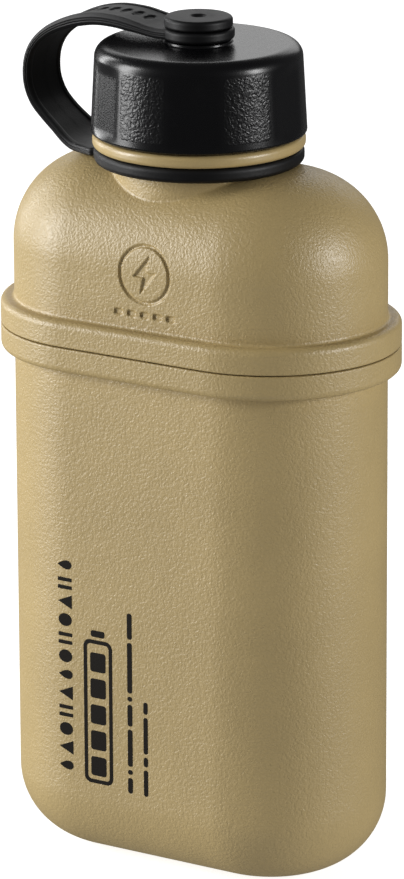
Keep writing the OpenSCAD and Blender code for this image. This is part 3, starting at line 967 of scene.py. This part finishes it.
@dataclass
class Case:
    """The two shells, with the emblem pressed into the shoulder."""

    bench: Bench
    sizes: CaseSizes = CaseSizes()
    emblem_x: float = 1.6
    emblem_z: float = 99.4
    emblem_depth: float = 0.32
    emblem_edge: float = 0.16
    emblem_r: float = 4.5
    emblem_line: float = 0.3
    spark: tuple[Pair, ...] = ((0.9, 3.3), (-2.1, -0.5), (-0.3, -0.5), (-0.9, -3.3), (2.1, 0.5), (0.3, 0.5))
    bars_z: float = 92.95
    bar_pitch: float = 2.4
    bar_size: Pair = (1.7, 1.1)
    bar_corner: float = 0.54
    emblem_span: Pair = (-4.2, 8.2)
    emblem_rows: float = 6.4
    fine_step: float = 0.16
    fillet_least: float = 0.2
    fillet_most: float = 0.55
    fillet_share: float = 0.6
    fillet_inside: float = 0.05

    def build(self) -> None:
        """Builds both shells."""
        self.lower_shell()
        self.upper_shell()

    def lower_shell(self) -> None:
        """The cup below the seam: its outer profile, the seal's groove and its inner profile."""
        s = self.sizes
        lip = s.seam_z - s.seam_half
        bead_foot = s.seam_z - s.bead_half
        edge = s.end_r + s.bead_proud
        inner = s.end_r - s.wall
        inner_wall, outer_wall = (s.end_r + side for side in s.groove)
        profile = rounded_path([
            Corner(0, 0), Corner(s.end_r, 0, s.base_round), Corner(s.end_r, bead_foot, s.bead_foot_r),
            Corner(edge, bead_foot, s.bead_edge_r), Corner(edge, lip, s.lip_r),
            Corner(outer_wall, lip), Corner(outer_wall, lip - s.groove_deep),
            Corner(inner_wall, lip - s.groove_deep), Corner(inner_wall, lip),
            Corner(inner, lip), Corner(inner, s.wall, s.base_round - s.wall), Corner(0, s.wall),
        ])
        outline = Outline(s, np.linspace(-s.end_x, s.end_x, 27))
        piece = self.bench.make("case_lower", [Surface(outline.carry(profile))], "shell_plastic")
        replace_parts(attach(piece, "body"), "lower_shell")

    def upper_shell(self) -> None:
        """The cover above the seam with its neck: one closed grid, down the outside and up the inside."""
        s = self.sizes
        fine = self.fine_step
        emblem_left, emblem_right = self.emblem_span
        front = stations([(-s.end_x, 1), (emblem_left, 1.0), (emblem_right, fine), (s.end_x, 1.0)])
        outline = Outline(s, front)
        outside = self._dome_rows(outline, 0.0, s.neck_r, True, fine)
        inside = self._dome_rows(outline, s.wall, s.neck_bore, False, 1.2)
        lip = s.seam_z + s.seam_half
        bead_top = s.seam_z + s.bead_half
        edge = s.end_r + s.bead_proud
        inner = s.end_r - s.wall
        spring = s.shoulder_z - s.shoulder_round
        inner_side, outer_side = (s.end_r + side for side in s.tongue)
        first_z = stations([(spring, 1), (bead_top + 1.2, fine)])[1:]
        straight = np.stack([np.full(len(first_z), s.end_r), first_z], axis=-1)
        skirt = rounded_path([
            Corner(s.end_r, bead_top + 1.1), Corner(s.end_r, bead_top, s.bead_foot_r),
            Corner(edge, bead_top, s.bead_edge_r), Corner(edge, lip, s.lip_r),
            Corner(outer_side, lip), Corner(outer_side, s.seam_z - s.tongue_deep),
            Corner(inner_side, s.seam_z - s.tongue_deep), Corner(inner_side, lip),
            Corner(inner, lip), Corner(inner, spring - 0.3),
        ])
        rows = np.concatenate([outside, outline.carry(straight), outline.carry(skirt), inside[::-1]])
        surface = Surface(rows, rows_join=True)
        x, y, z = (surface.points[..., k] for k in range(3))
        on_front = (y < -s.neck_r) & (np.arange(len(rows)) < len(outside) + len(straight) + 3)[:, None]
        pressed = 1.0 - smooth_step(-self.emblem_edge, self.emblem_edge / 3, self._emblem(x, z))
        depth = self.emblem_depth * pressed
        outward = surface.normals()
        outward *= np.sign(outward[..., 1:2] * y[..., None] + 1e-9)
        surface.points = surface.points - outward * np.where(on_front, depth, 0.0)[..., None]
        piece = self.bench.make("case_upper", [surface], "shell_plastic")
        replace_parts(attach(piece, "body"), "upper_shell")

    def _dome_rows(
        self, outline: Outline, inset: float, neck: float, filleted: bool, step: float
    ) -> Array:
        """Rows from the neck's rim down its wall, over the shoulder and to the top of the side.

        Args:
            outline: the stations round the case.
            inset: how far inside the outer surface this one lies.
            neck: radius of the neck's wall.
            filleted: whether a fillet leads from the neck into the shoulder.
            step: spacing of the last rows, which hold the emblem.

        Returns:
            Points, rows by columns by three.
        """
        s = self.sizes
        dome = Shoulder(s, inset)
        polar = outline.polar
        wall_r = np.full(polar.shape, neck)
        cos, sin = np.cos(polar), np.sin(polar)
        drop = s.shoulder_z - dome.height(wall_r, polar)
        fillet = np.full(polar.shape, self.fillet_inside)
        if filleted:
            fillet = np.clip(self.fillet_share * drop, self.fillet_least, self.fillet_most)
        touch = wall_r + fillet
        for _ in range(4):
            slope = dome.slope(touch, polar)
            touch = wall_r + fillet + fillet * slope / np.hypot(1.0, slope)
        centre_z = dome.height(touch, polar) + fillet / np.hypot(1.0, slope)
        end_angle = np.arctan2(-1.0, slope)
        end_angle = np.where(end_angle > 0, end_angle - 2 * math.pi, end_angle)
        share = np.linspace(0.0, 1.0, 10)[:, None]
        sweep = -math.pi + share * (end_angle + math.pi)
        arc_r = neck + fillet + fillet * np.cos(sweep)
        arc_z = centre_z + fillet * np.sin(sweep)
        rim_share = np.array([0.0, 0.02, 0.35, 0.7, 0.98])[:, None]
        wall_z = s.neck_top + (centre_z - s.neck_top) * rim_share
        radii = np.concatenate([np.broadcast_to(wall_r, wall_z.shape), arc_r])
        heights = np.concatenate([wall_z, arc_z])
        collar = np.stack([radii * cos, radii * sin, heights], axis=-1)
        dense_from = dome.length - self.emblem_rows
        first = np.minimum(dome.start(touch, polar), dense_from - 0.5)
        share = np.linspace(0.0, 1.0, 34)[1:, None]
        last = stations([(dense_from, 1), (dome.length, step)])[1:, None].repeat(len(polar), axis=1)
        lengths = np.concatenate([first + (dense_from - first) * share, last])
        return np.concatenate([collar, dome.on_rays(lengths, polar, touch)])

    def _emblem(self, x: Array, z: Array) -> Array:
        """Distance outside the emblem: a ring round a spark, over a row of five short bars."""
        cx, cz = self.emblem_x, self.emblem_z
        ring = np.abs(disc_distance(x, z, cx, cz, self.emblem_r)) - self.emblem_line
        bolt = polygon_distance(x - cx, z - cz, self.spark)
        middles = [(cx + self.bar_pitch * i, self.bars_z) for i in range(-2, 3)]
        bars = [bar_distance(x, z, middle, self.bar_size, self.bar_corner) for middle in middles]
        return np.minimum.reduce([ring, bolt, *bars])


class Sign(Enum):
    """The plain signs of the print's long row."""

    DROP = "drop"
    PEAK = "peak"
    DISC = "disc"
    BARS = "bars"


@dataclass
class FrontPrint:
    """Black marks on the front: a charge gauge, a row of signs to its left, and two rows of dashes."""

    bench: Bench
    face_y: float = -18.4
    sunk: float = 0.05
    proud: float = 0.035
    gauge: tuple[float, float, float, float] = (-10.4, -5.0, 14.4, 38.4)
    gauge_line: float = 0.65
    charge_pitch: float = 4.35
    signs_x: float = -13.85
    sign_half: float = 1.3
    sign_pitch: float = 3.05
    dash_gap: float = 0.55
    sign_words: tuple[tuple[float, tuple[Sign, ...]], ...] = (
        (16.5, (Sign.DROP, Sign.PEAK, Sign.DISC, Sign.BARS, Sign.PEAK, Sign.DROP, Sign.DISC)),
        (37.8, (Sign.BARS, Sign.DISC, Sign.PEAK, Sign.BARS, Sign.DROP)),
    )
    dash_rows: tuple[tuple[float, float, tuple[float, ...]], ...] = (
        (-2.15, -1.25, (2.6, 0.8, 6.2, 3.6, 0.8, 8.4, 4.3)),
        (0.85, 1.65, (4.4, 1.6, 6.1, 2.0)),
    )

    def build(self) -> None:
        """Lays every mark as a thin plate and joins them in one piece."""
        back, seen = self.face_y + self.sunk, self.face_y - self.proud
        x0, x1, z0, z1 = self.gauge
        line = self.gauge_line
        inside = bar_outline(x0 + line, x1 - line, z0 + line, z1 - line, 0.6)
        marks = [frame_plate(bar_outline(x0, x1, z0, z1, 1.2), inside, back, seen)]
        outlines = [bar_outline(x0 + 1.4, x1 - 1.4, z1 + 0.5, z1 + 1.6, 0.4)]
        for i in range(5):
            low = z0 + 1.3 + self.charge_pitch * i
            outlines.append(bar_outline(x0 + 1.25, x1 - 1.25, low, low + 3.2, 0.45))
        for start, signs in self.sign_words:
            for i, sign in enumerate(signs):
                outlines += self._sign(sign, self.signs_x, start + self.sign_pitch * i)
        for left, right, lengths in self.dash_rows:
            z = 13.9
            for length in lengths:
                outlines.append(bar_outline(left, right, z, z + length, 0.4))
                z += length + self.dash_gap
        marks += [plate(outline, back, seen) for outline in outlines]
        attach(self.bench.make("front_print", marks, "cap_plastic", finish="print_ink"), "body")

    def _sign(self, sign: Sign, x: float, z: float) -> list[Array]:
        """The outlines of one sign about x and z: a drop, a peak, a disc or two bars."""
        angle = np.linspace(0.0, 2 * math.pi, 40, endpoint=False)
        half = self.sign_half
        if sign is Sign.DISC:
            return [np.stack([x + 1.25 * np.cos(angle), z + 1.05 * np.sin(angle)], axis=-1)]
        if sign is Sign.DROP:
            width = 0.95 * np.sin(angle) * np.sqrt(0.5 - 0.5 * np.cos(angle))
            return [np.stack([x - half * np.cos(angle), z + width], axis=-1)[::-1]]
        if sign is Sign.PEAK:
            return [np.array([[x + half, z - 1.15], [x + half, z + 1.15], [x - half, z]])]
        return [bar_outline(x - half, x + half, z + low, z + low + 0.6, 0.1) for low in (-1.0, 0.3)]


# ---------------------------------------------------------------- neck and cap


@dataclass(frozen=True)
class ThreadSizes:
    """The two-start thread: its lead, the ridge's half widths, and where it runs."""

    lead: float = 6.0
    root_half: float = 0.8
    crest_half: float = 0.45
    low_z: float = 121.0
    high_z: float = 127.0
    fade: float = 0.35

    def rise(self, angle: Array, z: Array) -> Array:
        """0 between ridges and 1 on a crest: a trapezoid in the distance to the nearest ridge line."""
        pitch = self.lead / 2
        turns = (z - self.low_z - self.lead * angle / (2 * math.pi)) / pitch
        off = (turns - np.round(turns)) * pitch
        ridge = np.clip((self.root_half - np.abs(off)) / (self.root_half - self.crest_half), 0.0, 1.0)
        line = z - off
        ends = smooth_step(self.low_z - self.fade, self.low_z + self.fade, line)
        return ridge * ends * (1.0 - smooth_step(self.high_z - self.fade, self.high_z + self.fade, line))


@dataclass
class Neck:
    """The threaded spout with its flange."""

    bench: Bench
    thread: ThreadSizes = ThreadSizes()
    core_r: float = 13.0
    ridge: float = 1.0
    thread_zone: Pair = (119.2, 128.5)

    def build(self) -> None:
        """The spout's profile turned round, with the thread's rise added to the radius of its core."""
        profile = rounded_path([
            Corner(11.9, 107), Corner(12.4, 107), Corner(12.4, 116.2), Corner(16.7, 116.2, 0.75),
            Corner(16.7, 118.2, 0.75), Corner(self.core_r, 118.2, 0.4), Corner(self.core_r, 129, 0.4),
            Corner(11.4, 129, 0.3), Corner(11.4, 107), Corner(11.9, 107),
        ], 0.12, 0.16)[:-1]
        surface = turned(profile, 192)
        angle = np.arctan2(surface.points[..., 1], surface.points[..., 0])
        z = surface.points[..., 2]
        on_core = (np.abs(profile[:, 0] - self.core_r) < 0.02)[:, None]
        outer = on_core & (z > self.thread_zone[0]) & (z < self.thread_zone[1])
        grow = np.where(outer, self.ridge * self.thread.rise(angle % (2 * math.pi), z), 0.0)
        outwards = np.stack([np.cos(angle), np.sin(angle), z * 0], axis=-1)
        surface.points = surface.points + outwards * grow[..., None]
        surface.rows_join = True
        piece = self.bench.make("neck_spout", [surface], "shell_plastic", finish="neck_plastic")
        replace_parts(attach(piece, "body"), "neck_collar")


@dataclass
class Cap:
    """The screw cap with its flats and grained panels, and the rivet on top."""

    bench: Bench
    flutes: int = 6
    flute_half_deg: float = 16.0
    flute_depth: float = 0.4
    first_flute_deg: float = -60.0
    flute_foot: Pair = (118.8, 120.2)
    flute_head: Pair = (128.7, 131.3)
    flute_blend: float = 0.16
    side_r: float = 15.5
    side_z: Pair = (118.7, 131.5)
    panel_low: float = 120.0
    panel_high: float = 130.2
    panel_deg: float = 28.0
    mm_per_deg: float = 0.29

    def build(self) -> None:
        """Builds the cap and its rivet."""
        self.shell()
        self.rivet()

    def shell(self) -> None:
        """A turned profile whose side is cut back to r / cos(a) flats between the grained panels."""
        profile = rounded_path([
            Corner(0, 130.25), Corner(15.15, 130.25), Corner(15.15, 118.5), Corner(16.95, 118.5, 0.4),
            Corner(16.2, 132.6, 2.2), Corner(5.3, 132.6, 0.25), Corner(5.3, 133.1, 0.22), Corner(0, 133.1),
        ], 0.14, 0.22)
        surface = turned(profile, 480)
        x, y, z = (surface.points[..., k] for k in range(3))
        radius, angle = np.hypot(x, y), np.arctan2(y, x)
        pitch = 2 * math.pi / self.flutes
        local = (angle - math.radians(self.first_flute_deg) + pitch / 2) % pitch - pitch / 2
        half = math.radians(self.flute_half_deg)
        floor_r = (radius - self.flute_depth) / np.cos(local)
        run = smooth_step(*self.flute_foot, z) * (1.0 - smooth_step(*self.flute_head, z))
        side = (radius > self.side_r) & (z > self.side_z[0]) & (z < self.side_z[1])
        side &= np.abs(local) < half * 1.4
        cut = np.where(side, (radius - smooth_min(radius, floor_r, self.flute_blend)) * run, 0.0)
        cut = np.maximum(cut, 0.0)
        shrink = np.where(radius > 0, 1.0 - cut / np.maximum(radius, 1e-6), 1.0)
        surface.points = np.stack([x * shrink, y * shrink, z], axis=-1)
        middle = (0.0, (self.panel_low + self.panel_high) / 2)
        size = (self.panel_deg * self.mm_per_deg, self.panel_high - self.panel_low)
        from_middle = np.degrees(pitch / 2 - np.abs(local)) * self.mm_per_deg
        edge = bar_distance(from_middle, z, middle, size, 0.8)
        surface.marks = {"grain": (1.0 - smooth_step(-0.12, 0.12, edge)) * (radius > self.side_r)}
        piece = self.bench.make("screw_cap", [surface], "cap_plastic")
        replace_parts(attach(piece, "cap"), "cap")

    def rivet(self) -> None:
        """The rivet's stem and its dimpled head, turned."""
        profile = rounded_path([
            Corner(0, 130.65), Corner(2.3, 130.65), Corner(2.3, 135.15), Corner(5.4, 135.15, 0.35),
            Corner(5.34, 136.79, 0.6), Corner(1.3, 136.79, 0.25), Corner(0.75, 136.3, 0.3), Corner(0, 136.3),
        ], 0.1, 0.5)
        piece = self.bench.make("cap_rivet", [turned(profile, 128)], "strap_rubber")
        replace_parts(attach(piece, "cap"), "strap_rivet")


# ---------------------------------------------------------------- the strap


@dataclass
class Strap:
    """One moulded strap: a ring round the neck, a bowed band, and an eye on the cap."""

    bench: Bench
    width: float = 9.5
    thick: float = 1.3
    thick_at_top: float = 2.0
    thick_at_eye: float = 1.62
    groove: float = 0.12
    groove_width: float = 0.07
    groove_places: Pair = (0.34, 0.66)
    side_bulge: float = 0.18
    corner: float = 0.22
    corner_thinning: float = 0.32
    rim_blend: float = 0.12
    loop_middle_z: float = 125.4
    rim: float = 0.95
    rim_height: float = 0.14
    ring_r: float = 16.5
    ring_bore: float = 13.85
    ring_z: Pair = (113.8, 116.1)
    eye_r: float = 5.65
    eye_bore: float = 2.6
    eye_z: Pair = (133.3, 135.0)
    flare_r: float = 20.0
    route: tuple[Pair, ...] = (
        (-13.95, 114.95), (-16.2, 114.6), (-18.2, 114.45), (-20.3, 114.5), (-22.2, 115.25),
        (-24.3, 116.8), (-26.4, 118.5), (-28.25, 120.45), (-29.35, 122.85), (-29.6, 125.4),
        (-29.15, 127.9), (-27.95, 130.05), (-26.0, 131.85), (-23.5, 133.25), (-20.2, 134.45),
        (-16.5, 135.15), (-12.8, 135.15), (-9.6, 134.75), (-7.0, 134.35), (-5.2, 134.15),
        (-3.2, 134.15),
    )

    def build(self) -> None:
        """Joins the three parts in one piece that curves from the case to the cap."""
        (low, high), (foot, head) = self.ring_z, self.eye_z
        ring = rounded_path([
            Corner(15.0, low), Corner(self.ring_r, low, 0.8), Corner(self.ring_r, high, 0.8),
            Corner(self.ring_bore, high, 0.3), Corner(self.ring_bore, low, 0.3), Corner(15.0, low),
        ], 0.12, 0.8)[:-1]
        eye = rounded_path([
            Corner(4.0, foot), Corner(self.eye_r, foot, 0.5), Corner(self.eye_r, head, 0.5),
            Corner(self.eye_bore, head, 0.2), Corner(self.eye_bore, foot, 0.2), Corner(4.0, foot),
        ], 0.1, 0.6)[:-1]
        piece = self.bench.make("strap", [turned(ring, 160), turned(eye, 96), self._band()], "strap_rubber")
        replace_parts(piece, "strap_ring", "strap_band", "strap_eye")
        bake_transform(piece)

    def _band(self) -> Surface:
        """The band: a section of two rims and a sunk field, carried square to the route."""
        line = spline(np.array(self.route), 260)
        ahead = np.gradient(line, axis=0)
        ahead /= np.linalg.norm(ahead, axis=1, keepdims=True)
        outward = np.stack([-ahead[:, 1], ahead[:, 0]], axis=1)[:, None, :]
        half = self.width / 2
        y, t, puff = self._section()
        rounding = 1 - np.clip((1 - np.abs(y)) * half / self.corner, 0, 1)
        thin = 1 - self.corner_thinning * rounding**2
        edge = half - self.rim
        rim = smooth_step(edge - self.rim_blend, edge + self.rim_blend, np.abs(y) * half)
        sink = self.rim_height * (1 - rim) * (np.abs(t) > 0.99)
        height = t * thin * self._half_thick(line) - np.sign(t) * sink
        widths = (half + self._flare(line))[:, None]
        sideways = y * widths + puff - np.sign(y) * self.side_bulge
        height = height - self._dimples(line[:, :1], line[:, 1:], sideways, t)
        centre = line[:, None, :] + outward * height[..., None]
        points = np.stack([centre[..., 0], sideways, centre[..., 1]], axis=-1)
        first, last = (points[i].mean(axis=0, keepdims=True).repeat(len(y), axis=0)[None] for i in (0, -1))
        return Surface(np.concatenate([first, points, last]))

    def _section(self) -> tuple[Array, Array, Array]:
        """The section's points in order: out along the top, down a side, back below, and up the other side.

        Returns:
            Place across from -1 to 1, place through the thickness from -1 to 1, and how far each
            point stands out sideways. A side bulges as a half sine, less two narrow grooves.
        """
        across = stations([(-1.0, 1), (1.0, 0.03)])
        side = np.linspace(0.0, 1.0, 31)[1:-1]
        flat, ends = np.ones(len(across)), np.ones(len(side))
        grooves = sum(np.exp(-(((side - k) / self.groove_width) ** 2)) for k in self.groove_places)
        bulge = self.side_bulge * np.sin(side * math.pi) - self.groove * grooves
        y = np.concatenate([across, ends, -across, -ends])
        t = np.concatenate([flat, 1 - 2 * side, -flat, -1 + 2 * side])
        return y, t, np.concatenate([0 * flat, bulge, 0 * flat, -bulge])

    def _half_thick(self, line: Array) -> Array:
        """Half the band's thickness: it grows over the top of the loop and settles towards the eye."""
        x, z = line[:, :1], line[:, 1:]
        over = z > self.loop_middle_z
        grow = smooth_step(-30.0, -19.0, x) * over
        settle = smooth_step(-12.0, -6.5, x) * over
        top, eye = self.thick_at_top, self.thick_at_eye
        return (self.thick + (top - self.thick) * grow - (top - eye) * settle) / 2

    def _flare(self, line: Array) -> Array:
        """How much wider each side is near the ring: a hollow arc tangent to the band's edge and to the ring.

        The arc's centre is half the band's width plus its own radius from the long axis, and the
        ring's radius plus its own from the neck's axis. Its last millimetre tucks into the ring.
        """
        side = self.width / 2 + self.flare_r
        start = -math.sqrt((self.ring_r + self.flare_r) ** 2 - side**2)
        along = np.clip(line[:, 0] - start, 0.0, self.flare_r * 0.98)
        tuck = 0.9 * smooth_step(-15.1, -14.0, line[:, 0])
        flare = self.flare_r - np.sqrt(self.flare_r**2 - along**2) - tuck
        return np.where(line[:, 1] < 120.0, flare, 0.0)

    @staticmethod
    def _dimples(x: Array, z: Array, y: Array, t: Array) -> Array:
        """Depth of seven oval dimples in a row on the outside of the band, over the cap."""
        first_x, pitch, half_long, half_wide, depth = -21.8, 2.1, 0.66, 1.5, 0.22
        deep = np.zeros(np.broadcast_shapes(x.shape, y.shape))
        for i in range(7):
            far = np.hypot((x - first_x - pitch * i) / half_long, y / half_wide)
            deep = deep + depth * (1.0 - smooth_step(0.8, 1.05, far))
        return np.where((z > 130) & (t > 0.99), deep, 0.0)


# ---------------------------------------------------------------- what keeps its CAD shape


@dataclass
class Inside:
    """The CAD pieces that show as they are, and those under the cap and in the case."""

    bench: Bench

    def build(self, frame: Mapping[str, Any]) -> None:
        """Dresses every CAD node in its record slot's finish."""
        for entry in frame["record"]["subparts"]:
            node = frame["nodes"][entry["node"]]
            node.data.materials.clear()
            node.data.materials.append(self.bench.book.get(entry["material_slot"]))
            LOG.info("%s: finish %s", node.name, entry["material_slot"])


# ---------------------------------------------------------------- studio


@dataclass(frozen=True)
class SoftLight:
    """A soft box: the way it lies from the object in degrees, its distance, size and power."""

    name: str
    azimuth: float
    elevation: float
    distance: float
    width: float
    height: float
    power: float
    glossy: bool = True

    def place(self, target: Vector) -> None:
        """Hangs the light so that it faces the target."""
        data = bpy.data.lights.new(self.name, "AREA")
        data.shape = "RECTANGLE"
        data.size, data.size_y = self.width, self.height
        data.energy = self.power
        lamp = bpy.data.objects.new(self.name, data)
        bpy.context.scene.collection.objects.link(lamp)
        way = direction(self.azimuth, self.elevation)
        lamp.visible_glossy = self.glossy
        lamp.location = target + way * self.distance
        lamp.rotation_euler = way.to_track_quat("Z", "Y").to_euler()


def direction(azimuth: float, elevation: float) -> Vector:
    """The unit vector towards an azimuth from the front, to the right, and an elevation, in degrees."""
    a, e = math.radians(azimuth), math.radians(elevation)
    return Vector((math.sin(a) * math.cos(e), -math.cos(a) * math.cos(e), math.sin(e)))


@dataclass
class Studio:
    """The camera, the pale floor and the soft lights."""

    azimuth: float = 32.762
    elevation: float = 16.655
    roll: float = 0.281
    distance: float = 0.9692
    target: tuple[float, float, float] = (0.0, 0.0, 0.063)
    lens: float = 250.05
    shift: tuple[float, float] = (0.00142, 0.03535)
    world: float = 0.1
    lights: tuple[SoftLight, ...] = (
        SoftLight("light_left", -54, 13, 1.1, 0.4, 0.8, 15.5),
        SoftLight("light_side", -98, 14, 1.1, 0.16, 0.8, 4.6),
        SoftLight("light_right", 98, 14, 1.1, 0.24, 0.5, 8.6),
        SoftLight("light_back", 207, 24, 1.1, 1.0, 0.5, 2.1),
        SoftLight("light_bounce", 0, -89, 0.5, 3.0, 3.0, 15.0, glossy=False),
    )

    def build(self) -> None:
        """Sets the camera, lights, floor and world."""
        self._camera()
        for light in self.lights:
            light.place(Vector(self.target))
        self._floor()
        self._world()
        bpy.context.scene.view_settings.view_transform = "Standard"

    def _camera(self) -> None:
        """A long lens at the viewing angle, turned a little about its own axis."""
        back = direction(self.azimuth, self.elevation)
        right = Vector((math.cos(math.radians(self.azimuth)), math.sin(math.radians(self.azimuth)), 0.0))
        up = back.cross(right)
        turn = math.radians(self.roll)
        own_right = right * math.cos(turn) - up * math.sin(turn)
        own_up = right * math.sin(turn) + up * math.cos(turn)
        data = bpy.data.cameras.new("camera")
        data.lens = self.lens
        data.sensor_width = 36.0
        data.shift_x, data.shift_y = self.shift
        data.clip_start, data.clip_end = 0.05, 50.0
        camera = bpy.data.objects.new("camera", data)
        bpy.context.scene.collection.objects.link(camera)
        place = Vector(self.target) + back * self.distance
        turned_axes = Matrix((own_right, own_up, back)).transposed().to_4x4()
        camera.matrix_world = Matrix.Translation(place) @ turned_axes
        bpy.context.scene.camera = camera

    @staticmethod
    def _floor() -> None:
        """A wide square of pale paper at the object's foot."""
        half = 8.0
        mesh = bpy.data.meshes.new("floor")
        corners = [(-half, -half, 0), (half, -half, 0), (half, half, 0), (-half, half, 0)]
        mesh.from_pydata(corners, [], [(0, 1, 2, 3)])
        mesh.materials.append(StudioFloor().build())
        floor = bpy.data.objects.new("floor", mesh)
        bpy.context.scene.collection.objects.link(floor)
        floor.visible_diffuse = floor.visible_glossy = floor.visible_shadow = False

    def _world(self) -> None:
        """An even pale surround."""
        world = bpy.data.worlds.new("surround")
        world.use_nodes = True
        back = world.node_tree.nodes["Background"]
        back.inputs["Color"].default_value = (1.0, 1.0, 1.0, 1.0)
        back.inputs["Strength"].default_value = self.world
        bpy.context.scene.world = world


def main() -> None:
    """Builds the looks in order."""
    logging.basicConfig(level=logging.INFO, format="%(message)s")
    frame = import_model()
    Studio().build()
    bench = Bench(FinishBook())
    Inside(bench).build(frame)
    Case(bench).build()
    FrontPrint(bench).build()
    Neck(bench).build()
    Cap(bench).build()
    Strap(bench).build()


if __name__ == "__main__":
    main()
